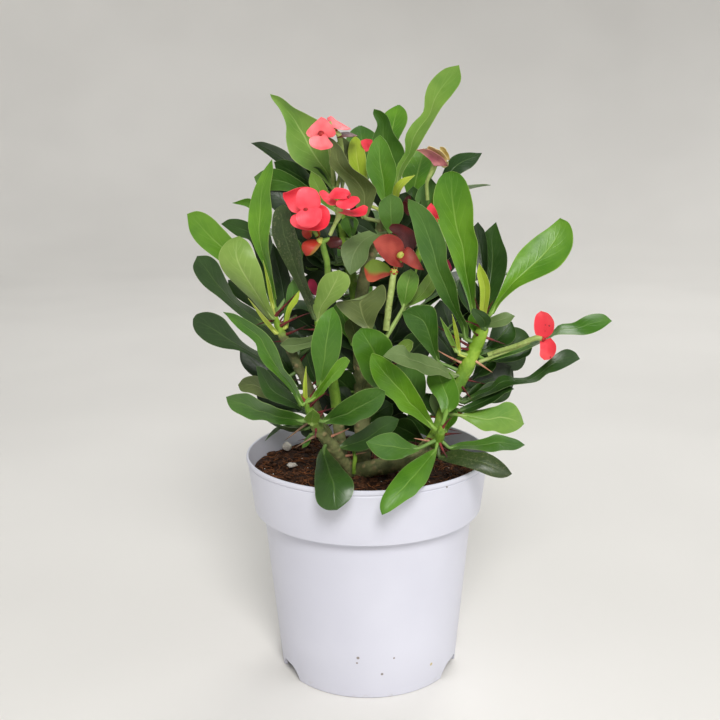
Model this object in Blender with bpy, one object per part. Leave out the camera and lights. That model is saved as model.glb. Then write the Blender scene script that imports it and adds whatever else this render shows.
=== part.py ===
"""Crown of thorns (Euphorbia milii) growing in a 12 cm nursery pot.

Run with: blender --background --python part.py
Units are metres with +Z up; the tables below are in millimetres and are scaled once, by MM.
The origin is the centre of the pot's foot, on the surface that it stands on. -Y is the front.
"""
import math
import random

import bmesh
import bpy
from mathutils import Vector
from mathutils.bvhtree import BVHTree

# --------------------------------------------------------------------------- driving dimensions
MM = 0.001

POT_HEIGHT = 110.5          # foot to top of lip
POT_RIM_R = 60.0            # outside radius of the lip
POT_COLLAR_R = 56.4         # outside radius at the collar's lower edge
POT_COLLAR_Z = 82.8         # height of the collar's lower edge
POT_BODY_R = 52.1           # outside radius just under the collar
POT_FOOT_R = 44.5           # outside radius of the foot
POT_WALL = 1.2
POT_FLOOR_Z = 6.4           # underside of the raised floor
POT_WELL_R = 13.0           # flat disc in the middle that stands on the table
POT_SEGMENTS = 44

NOTCH_HEIGHT = 6.2          # drain notches in the foot ring
NOTCHES = ((67.0, 28.0), (-62.0, 25.0), (113.0, 28.0), (-118.0, 25.0))   # centre and span, degrees from the front
DRAIN_HOLE_R = 3.6
DRAIN_HOLE_RING_R = 29.0
DRAIN_HOLES = 8

SOIL_TOP = 101.5
GAP = 0.35                  # clearance where separate pieces touch

BLADE_THICK = 0.9           # leaf thickness along the midrib
BRACT_THICK = 0.8
STEM_SEED, FLOWER_SEED = 15, 15   # small shifts that keep joined shells from sharing faces
THORN_R = 0.8               # thorn radius where it leaves the bark

# The plant is laid out on an elevation sheet of 720 by 720 divisions, drawn in perspective from
# a station in front of the pot. A point is (across, down, depth): across and down are sheet
# divisions, and depth is the distance in mm behind the upright plane through the pot's axis.
SHEET = 720.0
SHEET_FOCAL = 1047.8        # divisions
STATION = (3.08, -498.7, 270.5)
STATION_PITCH = math.radians(12.89)
STATION_YAW = math.radians(-0.73)
STATION_ROLL = math.radians(-0.50)

# Each blade: name, tint, one edge and the other from base to tip on the elevation sheet,
# the tip, depths in mm from base to tip, tilt (mm that the first edge lies behind the second)
# and fold (mm that the midrib lies behind the edges; negative brings it forward).
BLADES = [
    # --- upper left shoot -------------------------------------------------------------------
    ("leaf_left_1", "bright", "262,306 240,276 218,260 199,245 190,232", "268,302 254,270 240,248 222,228 208,215 197,211", "187,214", (0, 9, 14, 12), 5, 2.0),
    ("leaf_left_2", "pale", "270,320 262,312 250,298 231,281 221,268 219,255 228,241", "275,317 267,296 262,272 255,255 248,242", "239,236", (-11, -19, -24, -20), 6, -2.2),
    ("leaf_left_3", "bright", "273,309 265,270 254,246 248,225 252,195 262,173", "278,307 275,290 271,265 268,243 272,215 270,190 273,170", "272,159", (-3, 3, 5, 2), 7, 2.0),
    ("leaf_left_4", "dark", "263,327 245,319 220,298 203,285 193,268", "266,320 252,308 236,297 226,280 218,263 209,256", "197,256", (-6, -4, 2, 5), 8, 1.6),
    ("leaf_left_5", "dark", "284,381 272,370 258,361 240,351 222,348 208,343 197,334 193,326", "287,375 276,362 262,353 250,347 240,340 231,328 222,317 208,312 197,314", "193,319", (-9, -7, 2, 6), 6, 1.8),
    ("leaf_left_6", "bright", "300,407 291,391 277,376 265,365 258,353 256,344 249,337 240,330 232,322 227,316", "304,403 298,390 292,379 284,369 281,360 276,347 267,334 258,327 248,321 235,314", "223,312", (-33, -33, -34, -28), 7, 1.6),
    ("leaf_left_7", "dark", "313,320 297,286 284,262 273,238 272,222 275,210", "317,316 313,298 305,275 301,250 294,227 289,209", "283,204", (-16, -19, -22, -20), 7, 1.4),
    # --- low left shoot ---------------------------------------------------------------------
    ("leaf_low_left_1", "mid", "303,425 290,425 277,424 264,420 252,420 241,415 232,410 228,404", "304,417 292,412 280,409 270,405 261,401 254,396 247,393 236,394", "226,397", (-32, -37, -38, -34), 11, 2.4),
    ("leaf_low_left_2", "bright", "317,389 315,371 312,357 311,345 314,331 319,319 326,311", "323,388 331,369 338,359 341,345 342,330 339,317", "333,307", (-34, -40, -45, -42), 5, 1.4),
    ("leaf_low_left_3", "mid", "325,424 335,424 345,425 353,425 360,420 369,417 376,412 382,405 385,397", "323,419 331,411 340,403 350,397 360,391 369,389 377,388", "385,391", (-33, -40, -45, -46), 8, 2.0),
    ("leaf_low_left_4", "dark", "321,449 317,457 316,466 315,478 315,490 316,499 320,506 327,510", "327,449 332,456 338,463 345,472 352,479 354,488 351,498 345,504", "337,510", (-27, -43, -60, -67, -70), 3, -2.0),
    # --- top left ---------------------------------------------------------------------------
    ("leaf_top_1", "light", "332,190 319,176 303,167 291,157 286,140 286,125 280,110 272,99", "337,186 335,172 331,156 328,138 322,124 308,115 292,106 280,97", "270,94", (8, 7, 9, 14), 6, 2.2),
    ("leaf_top_2", "dark", "322,190 302,178 283,166 264,152", "325,184 314,172 300,163 281,149 263,142", "251,143", (18, 22, 26, 28), 10, 1.5),
    ("leaf_top_3", "dark", "362,219 353,200 345,182 336,172 329,163 331,152", "368,216 374,200 377,189 367,178 352,167 342,149 334,140", "326,136", (-1, -5, -8, -7), 7, 2.0),
    ("leaf_top_4", "light", "383,204 373,185 366,168 369,149 374,140", "388,203 393,190 397,172 392,154 386,141", "380,135", (-3, -5, -6, -4), 4, 1.6),
    ("leaf_top_5", "dark", "386,197 378,166 372,142 377,125 373,114", "390,196 402,168 404,150 394,133 388,117 381,111", "374,109", (10, 12, 14, 12), 5, 2.4),
    ("leaf_top_6", "light", "394,191 397,166 405,152 405,137 412,124 423,112 425,95 430,82 444,69", "399,189 403,172 414,154 424,137 434,121 443,106 453,94 461,80", "459,65", (5, 5, 4, 2, 0), 7, 1.8),
    ("leaf_top_7", "dark", "440,182 445,167 452,157 462,153", "444,184 455,178 466,171 476,163", "482,153", (9, 10, 14, 18), 9, 1.0),
    # --- upper right shoot ------------------------------------------------------------------
    ("leaf_right_1", "bright", "472,319 467,298 456,270 447,245 438,222 433,200 437,182 443,174", "476,318 475,300 475,270 478,246 474,228 473,203 467,183 460,174", "452,171", (-2, 2, 3, 1), 6, 2.0),
    ("leaf_right_2", "mid", "463,340 461,328 452,312 441,299 432,281 424,264 418,248 412,222 408,208", "468,338 468,325 461,313 458,300 455,283 447,262 446,245 440,228 430,212 418,203", "408,199", (-9, -20, -30, -31, -28), 7, 2.0),
    ("leaf_right_3", "bright", "489,313 496,300 508,272 519,252 535,237 548,228", "494,314 502,301 520,286 541,277 559,267 571,250 573,235 569,223", "560,218", (-7, -6, -2, 3), 9, 2.2),
    ("leaf_right_4", "dark", "486,349 492,340 503,333 513,327 525,331", "485,358 495,362 508,362 521,359 530,354", "533,343", (4, 7, 9, 9), 6, 1.6),
    ("leaf_right_5", "mid", "487,358 503,352 522,346 541,338 553,331 560,325 573,323 588,315 603,314", "488,362 504,357 524,351 545,342 556,335 567,334 585,335 600,330", "612,321", (-5, -4, -1, 4, 8), 13, 1.2),
    ("leaf_right_6", "mid", "463,400 480,390 491,386 498,377 505,375 515,378 528,377 536,371 548,361 556,354 566,349 575,352", "464,405 480,398 498,391 512,385 528,383 538,381 547,374 557,371 568,366", "580,359", (-14, -17, -14, -8, -3), 10, 1.5),
    ("leaf_right_7", "dark", "460,408 470,403 485,396 499,390 509,386", "461,413 470,412 481,408 493,402 504,394", "514,389", (-19, -21, -20, -17), 8, 1.4),
    # --- low right shoot --------------------------------------------------------------------
    ("leaf_low_right_1", "pale", "461,414 472,411 485,409 497,406 505,402 513,403 519,410", "460,417 472,424 484,431 494,431 503,434 513,432 520,428", "524,424", (-22, -23, -18, -12), 7, -1.0),
    ("leaf_low_right_2", "mid", "450,446 462,442 475,441 488,437 496,434 508,437 518,440", "450,450 462,449 476,450 490,452 502,450 515,450", "525,445", (-29, -32, -30, -24), 11, 1.6),
    ("leaf_low_right_3", "dark", "441,455 450,451 461,450 475,452 487,453 499,460 507,467", "438,459 450,463 466,467 480,472 490,476 500,478 507,477", "512,474", (-30, -40, -45, -47), 8, -1.6),
    ("leaf_low_right_4", "bright", "434,449 424,454 412,461 402,469 393,480 386,490 381,500 380,508", "437,451 435,460 431,472 426,483 420,489 415,495 407,500 397,507 389,512", "382,515", (-31, -46, -60, -67, -71), 4, -1.6),
    ("leaf_low_right_5", "mid", "418,446 410,443 402,438 395,433 386,433 376,436", "419,451 410,455 401,459 390,460 381,458 371,450", "366,442", (-33, -41, -47, -50), 9, 1.8),
    ("leaf_low_right_6", "bright", "431,429 420,421 411,415 401,411 394,401 386,395 380,389 374,380 370,368 370,359", "434,424 429,414 424,403 417,391 410,380 402,370 391,362 381,356", "372,353", (-26, -33, -38, -40), 5, 1.8),
    ("leaf_low_right_7", "bright", "442,413 437,399 430,389 427,377", "450,412 458,405 459,393 455,380 449,372", "438,366", (-24, -21, -15, -11), 4, 1.4),
    # --- middle -----------------------------------------------------------------------------
    ("leaf_middle_1", "dark", "383,391 372,386 363,376 358,363 353,350 353,337", "387,388 389,370 393,354 391,342 382,333 373,329", "361,328", (-24, -29, -33, -30), 5, 1.8),
    ("leaf_middle_2", "grey", "456,373 445,367 433,359 420,354 410,352 404,345 393,347", "457,377 450,379 440,375 428,375 417,369 403,366 393,361", "383,356", (-12, -27, -40, -50), 12, 1.2),
    ("leaf_middle_3", "dark", "437,362 425,348 415,336 406,324", "440,361 438,345 438,325 434,308 418,305", "402,312", (-7, -12, -17, -20), 5, 1.6),
    # --- behind -----------------------------------------------------------------------------
]
# Blades that grow away from the front: name, tint, foot (x, y, z mm), heading and rise in
# degrees, length, width, droop in degrees over the length, roll in degrees.
SPRAYS = [
    ("leaf_back_1", "bright", (-12, 22, 222), 142, 38, 62, 21, 40, 10),
    ("leaf_back_2", "mid", (16, 18, 214), 28, 30, 60, 20, 44, -12),
    ("leaf_back_3", "dark", (-24, 20, 182), 146, 18, 58, 20, 34, 14),
    ("leaf_back_4", "mid", (24, 16, 178), 12, 22, 56, 19, 36, -8),
    ("leaf_back_5", "bright", (2, 22, 196), 92, 34, 60, 21, 48, 6),
    ("leaf_back_6", "mid", (-4, 16, 150), 78, 30, 58, 20, 60, -10),
]
# Youngest blades, which are one growth with the shoot they sit on: same columns as BLADES.
YOUNG = [
    ("lime", "271,309 267,285", "275,308 270,283", "263,260", (-11, -15, -15), 1, 0.5),
    ("lime", "275,335 263,321", "278,332 266,318", "248,298", (-11, -15, -17), 2, 0.4),
    ("lime", "283,328 287,308 294,297", "288,328 291,311 298,301", "300,289", (-10, -13, -14), 2, 0.5),
    ("lime", "394,200 393,189 401,179", "397,201 402,189 408,182", "415,175", (1, -3, -5), 3, 0.8),
    ("pale", "317,319 313,308 316,296 319,283 326,274", "320,318 330,306 342,296 350,284 348,275", "339,270", (-18, -24, -28), 6, -1.2),
    ("lime", "479,318 480,290 477,274", "486,317 490,290 487,276", "479,263", (-8, -10, -9), 3, 1.0),
    ("grey", "483,321 496,315 506,312", "484,328 497,327 508,324", "515,316", (-7, -12, -12), 6, 0.8),
    ("lime", "458,356 454,332", "461,353 458,332", "452,314", (-12, -18, -20), 2, 0.3),
    ("lime", "303,405 303,385", "308,405 307,385", "306,366", (-31, -35, -36), 1, 0.5),
    ("dark", "339,446 349,437 360,431 370,424 378,418 389,416", "341,449 352,451 360,451 372,447 386,437 395,429", "399,419", (-21, -27, -28), 6, 1.4),
    ("dark", "484,316 478,282 479,250 483,235", "489,316 500,290 506,273 507,255 502,240", "496,222", (-5, 8, 11, 11), 6, 1.2),
    ("grey", "386,229 368,231 350,238 341,248 344,264", "388,233 376,240 370,247 367,260 358,270", "350,275", (3, -12, -20), 6, 1.2),
]

# Stem: branches as (across, down, depth, radius mm). A first depth of None starts the branch
# on the soil.
BRANCHES = [
    # low left shoot
    [(353, 474, None, 3.9), (343, 461, -16, 3.5), (332, 446, -21, 3.3), (322, 433, -25, 3.0), (314, 420, -29, 2.6), (309, 409, -31, 2.0), (306, 402, -32, 1.1)],
    # upper left shoot
    [(352, 473, None, 3.4), (338, 455, -13, 3.0), (325, 433, -9, 2.8), (316, 408, -7, 2.6), (306, 382, -7, 2.4), (296, 362, -8, 2.3), (287, 343, -9, 2.2), (279, 328, -9, 1.9), (275, 316, -9, 1.1)],
    # middle left shoot
    [(342, 459, -14, 2.9), (339, 430, -11, 2.8), (335, 395, -12, 2.6), (328, 358, -14, 2.4), (321, 336, -16, 2.1), (317, 321, -17, 1.3)],
    # trunk and crown
    [(360, 471, None, 4.6), (363, 440, -2, 4.2), (362, 400, 2, 3.8), (360, 350, 4, 3.5), (361, 300, 5, 3.2), (369, 260, 5, 2.9), (381, 228, 4, 2.5), (389, 210, 3, 2.1), (393, 200, 3, 1.2)],
    # upper left side branch
    [(361, 330, 5, 2.8), (354, 290, 9, 2.6), (347, 250, 10, 2.5), (340, 215, 9, 2.2), (335, 195, 8, 1.4)],
    # upper right side branch
    [(362, 380, 3, 2.8), (382, 340, 9, 2.7), (402, 300, 11, 2.5), (418, 260, 12, 2.3), (430, 220, 11, 2.1), (438, 192, 10, 1.8), (441, 184, 10, 1.1)],
    # middle side branch
    [(362, 410, 2, 2.8), (370, 385, -6, 2.7), (379, 360, -13, 2.5), (384, 341, -17, 1.9)],
    # right shoot: low over the soil, then up
    [(359, 473, None, 4.3), (372, 468, -18, 4.0), (390, 465, -19, 4.0), (407, 459, -20, 3.7), (423, 450, -21, 3.4), (437, 433, -19, 3.3), (445, 410, -14, 3.2), (455, 390, -10, 3.3), (464, 372, -8, 3.5), (474, 350, -7, 3.4), (482, 331, -6, 3.0), (484, 321, -5, 1.8)],
    # low right shoot tip
    [(431, 444, -20, 2.8), (438, 440, -26, 2.6), (441, 432, -30, 2.0), (442, 426, -31, 1.2)],
]

# Thorns: foot and point on the sheet with their depths.
THORNS = [
    ((279, 309, -9), (299, 291, -13)), ((272, 320, -9), (256, 325, -14)), ((284, 325, -9), (312, 312, -16)),
    ((286, 334, -9), (308, 325, -17)), ((316, 401, -31), (319, 384, -35)), ((316, 405, -31), (328, 391, -38)),
    ((319, 411, -29), (338, 407, -34)), ((306, 421, -29), (284, 441, -33)), ((312, 436, -25), (293, 449, -29)),
    ((315, 424, -28), (315, 440, -34)), ((303, 403, -31), (296, 389, -34)), ((334, 433, -23), (350, 428, -28)),
    ((346, 455, -18), (368, 452, -24)), ((432, 437, -24), (424, 437, -31)), ((446, 436, -29), (463, 433, -34)),
    ((446, 432, -30), (453, 416, -35)), ((450, 409, -15), (479, 421, -22)), ((441, 444, -28), (451, 463, -36)),
    ((430, 443, -24), (413, 438, -26)), ((464, 345, -8), (436, 325, -13)), ((470, 349, -9), (449, 346, -17)),
    ((476, 326, -8), (463, 320, -14)), ((480, 337, -9), (473, 331, -16)), ((487, 338, -6), (507, 345, -9)),
    ((456, 361, -10), (437, 350, -15)), ((477, 361, -9), (493, 373, -17)), ((460, 383, -11), (472, 400, -19)),
    ((488, 313, -6), (494, 300, -9)), ((477, 312, -7), (474, 296, -11)),
]

# Bracts: the petal-like pairs of each flower; same columns as YOUNG, after the flower's name.
BRACTS = [
    ("flower_left_1", "red", "302,211 297,206 296,198 298,191 302,188", "312,210 320,206 320,198 317,191 312,188", "307,187", (-35, -37, -35), 1, 0.6),
    ("flower_left_1", "red", "301,210 296,215 297,222 301,226", "312,206 321,209 322,217 318,224 313,227", "308,228", (-35, -38, -36), 1, 0.6),
    ("flower_left_2", "red", "299,214 291,211 286,203 283,197", "312,212 320,204 320,196 314,190 305,187 295,189 287,192", "283,193", (-31, -31, -33), 3, 1.2),
    ("flower_left_2", "red", "300,213 292,216 290,221 293,226 300,229 308,230", "318,204 325,206 329,211 330,218 327,226", "319,231", (-31, -31, -33), 2, 1.2),
    ("flower_left_3", "red", "351,194 348,190 341,188 335,188 331,192", "349,199 341,199 334,199", "328,197", (-33, -32, -31), 7, 0.8),
    ("flower_left_3", "red", "343,199 337,201 336,205 340,208", "353,196 358,197 360,201 357,204 352,208", "346,209", (-34, -37, -39), 1, 0.8),
    ("flower_left_4", "red", "337,205 330,205 324,201 321,197", "338,201 332,198 328,193 323,190", "319,192", (-29, -27, -26), -6, 1.5),
    ("flower_left_4", "red", "336,211 343,214 352,216 360,216 366,214", "337,207 345,209 352,210 359,207 364,205", "368,207", (-28, -29, -27), -8, 1.5),
    ("flower_stalk_left", "orange", "311,239 303,243 302,249", "322,241 320,246 315,252 311,255", "306,256", (-26, -29, -29), 2, -1.2),
    ("flower_stalk_left", "maroon", "325,239 327,244 331,248", "335,236 341,239 342,244", "337,248", (-26, -28, -28), 2, -1.0),
    ("flower_top_1", "red", "316,137 309,137 306,133 310,127 315,122", "326,137 333,137 336,133 332,126 326,119", "321,117", (-9.8, -11.2, -10.4), 1, 0.6),
    ("flower_top_1", "red", "317,135 310,138 309,142 312,147", "325,134 330,141 333,145 331,148", "321,150", (-11.8, -14.2, -16), 2, 0.8),
    ("flower_top_2", "red", "327,118 331,116 336,120 343,124", "331,127 338,129 345,130", "351,129", (-7, -6, -4), 5, 0.8),
    ("flower_top_2", "maroon", "338,133 345,132 352,133", "337,138 344,137 351,137", "358,136", (-5, -4, -2), 7, 0.6),
    ("flower_top_3", "faded", "433,160 429,156 423,152", "441,161 436,155 431,151 424,150", "417,150", (4, 2, -1), 6, 0.6),
    ("flower_top_3", "faded", "436,165 441,166 444,168", "440,160 445,161 448,162", "448,166", (4, 3, 2), 5, 0.6),
    ("flower_right_1", "red", "539,339 535,333 534,324 536,315", "547,338 553,332 554,322 549,314", "541,311", (-13, -15, -14), 4, 0.8),
    ("flower_right_1", "red", "540,341 540,350 540,356", "551,338 556,345 555,354 550,359", "544,360", (-13, -16, -15), 4, 0.8),
    ("flower_middle_1", "brick", "403,267 396,267 389,264 381,256 376,249", "405,250 402,241 396,236 388,234 380,236", "373,242", (-18, -21, -22), -3, 1.2),
    ("flower_middle_1", "brick", "396,258 401,261 408,265 416,269", "403,253 407,247 412,249 417,256 421,264", "424,270", (-19, -22, -21), -3, 0.8),
    ("flower_middle_2", "maroon", "403,248 398,237 392,232 389,228", "412,252 417,243 414,232 405,226 398,224", "392,224", (-15, -14, -15), -3, 1.4),
    ("flower_middle_2", "brick", "393,274 380,279 373,282 368,281 365,274", "393,271 385,263 378,260 371,260", "364,267", (-17, -18, -20), 3, 1.2),
]

# Flower centres: name, cup centre, cup radius, then its stalk as (across, down, depth, radius mm).
STALKS = [
    ("flower_left_1", (306, 210, -34.6), 1.9, [(306, 211, -34, 0.9), (307, 216, -33.4, 0.9)]),
    ("flower_left_2", (309, 211, -31), 1.9, [(309, 211, -31, 1.1), (310, 222, -28.5, 1.0), (317, 236, -27, 0.9)]),
    ("flower_left_3", (349, 198, -33.4), 1.7, [(349, 198, -33, 0.9), (347, 203, -31.5, 0.9)]),
    ("flower_left_4", (339, 206, -29), 1.8, [(339, 206, -29, 1.9), (339, 215, -28, 1.4), (335, 224, -27, 0.9), (330, 235, -26, 0.9)]),
    ("flower_stalk_left", (320, 241, -26), 1.9, [(330, 239, -26, 0.9), (323, 242, -26, 1.3), (327, 262, -22, 1.4), (327, 282, -19, 1.4), (320, 309, -18, 1.3)]),
    ("flower_top_1", (321, 134, -10.8), 2.1, [(322, 133, -9.6, 0.9), (326, 140, -5.5, 1.2), (330, 150, -1, 1.0), (333, 176, 5, 0.9), (333, 184, 7, 0.9)]),
    ("flower_top_2", (334, 131, -5.5), 1.8, [(329, 122, -7, 0.9), (335, 131, -5.5, 1.0), (339, 135, -5, 1.3), (342, 160, 3, 0.9), (337, 189, 7, 0.9)]),
    ("flower_top_3", (436, 161, 4), 1.8, [(436, 161, 4, 1.9), (432, 171, 4.5, 1.1), (427, 182, 5, 0.9), (427, 192, 6, 0.9), (427.5, 200, 6.5, 0.9)]),
    ("flower_right_1", (543, 339, -12.6), 1.8, [(543, 339, -12.5, 1.2), (536, 338, -12, 1.3), (518, 345, -11, 1.1), (502, 350, -10, 1.1), (488, 355, -9, 1.2)]),
    ("flower_middle_1", (401, 256, -18.5), 2.2, [(401, 256, -18, 1.2), (400.5, 263, -17.4, 1.0)]),
    ("flower_middle_2", (394, 272, -17.5), 2.0, [(407, 250, -15.5, 1.0), (398, 262, -15.2, 1.0), (394, 272, -17.5, 1.3), (392, 285, -19, 1.5), (389, 305, -20, 1.5), (386, 330, -19, 1.5)]),
]

# --------------------------------------------------------------------------- sheet to space
def station_axes():
    """Sight line, sheet's across and sheet's up, as unit vectors."""
    cp, sp = math.cos(STATION_PITCH), math.sin(STATION_PITCH)
    cy, sy = math.cos(STATION_YAW), math.sin(STATION_YAW)
    sight = Vector((sy * cp, cy * cp, -sp))
    across = Vector((cy, -sy, 0.0))
    up = across.cross(sight)
    cr, sr = math.cos(STATION_ROLL), math.sin(STATION_ROLL)
    return sight, cr * across + sr * up, -sr * across + cr * up


SIGHT, ACROSS, UP = station_axes()
EYE = Vector(STATION)


def ray(a, d):
    return SIGHT + (a - SHEET / 2) / SHEET_FOCAL * ACROSS + (SHEET / 2 - d) / SHEET_FOCAL * UP


def at_depth(a, d, depth):
    """Sheet point at a depth behind the pot's axis, in mm."""
    r = ray(a, d)
    return EYE + r * ((depth - EYE.y) / r.y)


def at_height(a, d, z):
    r = ray(a, d)
    return EYE + r * ((z - EYE.z) / r.z)


# --------------------------------------------------------------------------- curves
def spline(points, t):
    """Catmull-Rom curve through the points, t from 0 to 1 by length of the point chain."""
    n = len(points)
    if n == 2:
        return tuple(p + (q - p) * t for p, q in zip(points[0], points[1]))
    lengths = [0.0]
    for p, q in zip(points, points[1:]):
        lengths.append(lengths[-1] + max(1e-6, math.dist(p, q)))
    s = t * lengths[-1]
    i = 0
    while i < n - 2 and s > lengths[i + 1]:
        i += 1
    u = (s - lengths[i]) / (lengths[i + 1] - lengths[i])
    h = lengths[i + 1] - lengths[i]

    def slope(j, c):
        if j == 0:
            return (points[1][c] - points[0][c]) / (lengths[1] - lengths[0])
        if j == n - 1:
            return (points[-1][c] - points[-2][c]) / (lengths[-1] - lengths[-2])
        return (points[j + 1][c] - points[j - 1][c]) / (lengths[j + 1] - lengths[j - 1])

    out = []
    for c in range(len(points[0])):
        p, q, m0, m1 = points[i][c], points[i + 1][c], slope(i, c) * h, slope(i + 1, c) * h
        out.append((2 * u**3 - 3 * u**2 + 1) * p + (u**3 - 2 * u**2 + u) * m0
                   + (-2 * u**3 + 3 * u**2) * q + (u**3 - u**2) * m1)
    return tuple(out)


def chain(values, t):
    """Smooth value through evenly spaced stations, t from 0 to 1."""
    n = len(values)
    x = t * (n - 1)
    i = min(n - 2, int(x))
    u = x - i
    p0, p1, p2, p3 = values[max(0, i - 1)], values[i], values[i + 1], values[min(n - 1, i + 2)]
    return 0.5 * (2 * p1 + (p2 - p0) * u + (2 * p0 - 5 * p1 + 4 * p2 - p3) * u * u + (3 * p1 - p0 - 3 * p2 + p3) * u**3)


def pairs(text):
    return [tuple(float(x) for x in item.split(",")) for item in text.split()]


# --------------------------------------------------------------------------- blades
def sheet_rows(edge_a, edge_b, tip, depths, tilt, fold, rows, t_from=0.0):
    """Rows of five points across a blade, from its foot towards its tip, then the tip itself."""
    a, b, end = pairs(edge_a), pairs(edge_b), pairs(tip)[0]
    a, b = a + [end], b + [end]
    out = []
    for i in range(rows):
        t = t_from + (1.0 - t_from) * (1.0 - (1.0 - i / rows) ** 1.35)
        pa, pb = spline(a, t), spline(b, t)
        swell = math.sin(math.pi * min(1.0, t ** 0.8)) ** 0.75 if 0 < t < 1 else 0.0
        depth = chain(depths, t)
        row = []
        for s in (0.0, 0.28, 0.5, 0.72, 1.0):
            lean = tilt * (0.5 - s) * swell
            hollow = fold * swell * (1.0 - (2 * s - 1) ** 2)
            p = (pa[0] + (pb[0] - pa[0]) * s, pa[1] + (pb[1] - pa[1]) * s)
            row.append(at_depth(p[0], p[1], depth + lean + hollow))
        out.append(row)
    return out, at_depth(end[0], end[1], depths[-1])


def spray_rows(foot, heading, rise, length, width, droop, roll, rows):
    """The same rows for a blade given by where it starts and how it leans."""
    az = math.radians(heading)
    out, p, steps = [], Vector(foot), 48
    spine = [p.copy()]
    for k in range(steps):
        e = math.radians(rise + droop * 0.35 - droop * (k / steps))
        p = p + Vector((math.cos(az) * math.cos(e), math.sin(az) * math.cos(e), math.sin(e))) * (length / steps)
        spine.append(p.copy())
    side = Vector((-math.sin(az), math.cos(az), 0))
    for i in range(rows):
        t = 1.0 - (1.0 - i / rows) ** 1.25
        k = t * steps
        j = min(steps - 1, int(k))
        c = spine[j].lerp(spine[j + 1], k - j)
        along = (spine[j + 1] - spine[j]).normalized()
        up = side.cross(along) * -1
        r = math.radians(roll * math.sin(math.pi * t))
        s = side * math.cos(r) + up * math.sin(r)
        n = s.cross(along) * -1
        half = width / 2 * max(0.11, math.sin(math.pi * t ** 1.45) ** 0.8 if 0 < t < 1 else 0.11)
        out.append([c + s * half * x + n * half * 0.20 * abs(x) for x in (-1, -0.44, 0, 0.44, 1)])
    return out, spine[-1]


def blade_mesh(rows, tip, thick, simple=False):
    """Closed lens-shaped solid over rows of points: full thickness at the midrib, thin edges."""
    bm = bmesh.new()
    n = len(rows)
    mid = []
    for i in range(n):
        ahead = rows[i + 1] if i + 1 < n else [tip] * 5
        behind = rows[i - 1] if i else rows[0]
        normals = []
        for j in range(5):
            along = ahead[j] - behind[j]
            across = rows[i][min(4, j + 1)] - rows[i][max(0, j - 1)]
            nrm = across.cross(along)
            normals.append(nrm.normalized() if nrm.length > 1e-9 else Vector((0, -1, 0)))
        mid.append(normals)
    rings = []
    for i, row in enumerate(rows):
        taper = 1.0 - 0.45 * (i / n)
        ring = []
        inner = (2,) if simple else (1, 2, 3)
        top = [row[j] + mid[i][j] * thick * 0.5 * taper * (0.8 if j in (1, 3) else 1.0) for j in inner]
        low = [row[j] - mid[i][j] * thick * 0.5 * taper * (0.8 if j in (1, 3) else 1.0) for j in reversed(inner)]
        for p in [row[0]] + top + [row[4]] + low:
            ring.append(bm.verts.new(p * MM))
        rings.append(ring)
    end = bm.verts.new(tip * MM)
    m = len(rings[0])
    for r0, r1 in zip(rings, rings[1:]):
        for k in range(m):
            bm.faces.new((r0[k], r0[(k + 1) % m], r1[(k + 1) % m], r1[k]))
    for k in range(m):
        bm.faces.new((rings[-1][k], rings[-1][(k + 1) % m], end))
    bm.faces.new(list(reversed(rings[0])))
    bmesh.ops.triangulate(bm, faces=bm.faces[:])
    bmesh.ops.recalc_face_normals(bm, faces=bm.faces[:])
    return bm


# --------------------------------------------------------------------------- tubes
def branch_points(branch):
    out = []
    for a, d, depth, r in branch:
        if depth is None:
            p = at_height(a, d, SOIL_TOP + GAP)
            out.append((p.x, p.y, p.z - 4.0, r))
        else:
            p = at_depth(a, d, depth)
        out.append((p.x, p.y, p.z, r))
    return out


def tube_mesh(points, sides, flat_foot=False, steps=None):
    """Closed tube through (x, y, z, radius) points in mm."""
    bm = bmesh.new()
    if steps:
        samples = [spline(points, k / (steps - 1)) for k in range(steps)]
    else:
        spans = [math.dist(p[:3], q[:3]) for p, q in zip(points, points[1:])]
        reach, at = sum(spans), 0.0
        samples = [spline(points, 0.0)]
        for span in spans:
            parts = 1 + int(span / 9.0)
            samples += [spline(points, min(1.0, (at + span * (k + 1) / parts) / reach)) for k in range(parts)]
            at += span
    count = len(samples)
    rings, ref = [], Vector((0.3, -0.2, 1.0)).normalized()
    for k, smp in enumerate(samples):
        p = Vector(smp[:3])
        a = Vector(samples[max(0, k - 1)][:3])
        b = Vector(samples[min(count - 1, k + 1)][:3])
        along = (b - a).normalized()
        if flat_foot and k == 0:
            along = Vector((0, 0, 1))
        if abs(along.dot(ref)) > 0.97:
            ref = Vector((1, 0.2, 0)).normalized()
        u = along.cross(ref).normalized()
        v = along.cross(u)
        rings.append([bm.verts.new((p + (u * math.cos(q) + v * math.sin(q)) * smp[3]) * MM)
                      for q in (2 * math.pi * s / sides for s in range(sides))])
        ref = v * -1 if abs(v.dot(ref)) > 0 and v.dot(ref) < 0 else v
        ref = (ref + along * 0.0).normalized()
    for r0, r1 in zip(rings, rings[1:]):
        # start each ring at the vertex nearest the last ring's start, so that the tube can't twist
        best = min(range(sides), key=lambda s: sum((r1[(k + s) % sides].co - r0[k].co).length for k in range(sides)))
        flip = min(range(sides), key=lambda s: sum((r1[(s - k) % sides].co - r0[k].co).length for k in range(sides)))
        cost_a = sum((r1[(k + best) % sides].co - r0[k].co).length for k in range(sides))
        cost_b = sum((r1[(flip - k) % sides].co - r0[k].co).length for k in range(sides))
        order = [r1[(k + best) % sides] for k in range(sides)] if cost_a <= cost_b else [r1[(flip - k) % sides] for k in range(sides)]
        r1[:] = order
        for k in range(sides):
            bm.faces.new((r0[k], r0[(k + 1) % sides], r1[(k + 1) % sides], r1[k]))
    bm.faces.new(list(reversed(rings[0])))
    bm.faces.new(rings[-1])
    bmesh.ops.triangulate(bm, faces=bm.faces[:])
    bmesh.ops.recalc_face_normals(bm, faces=bm.faces[:])
    return bm


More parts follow.
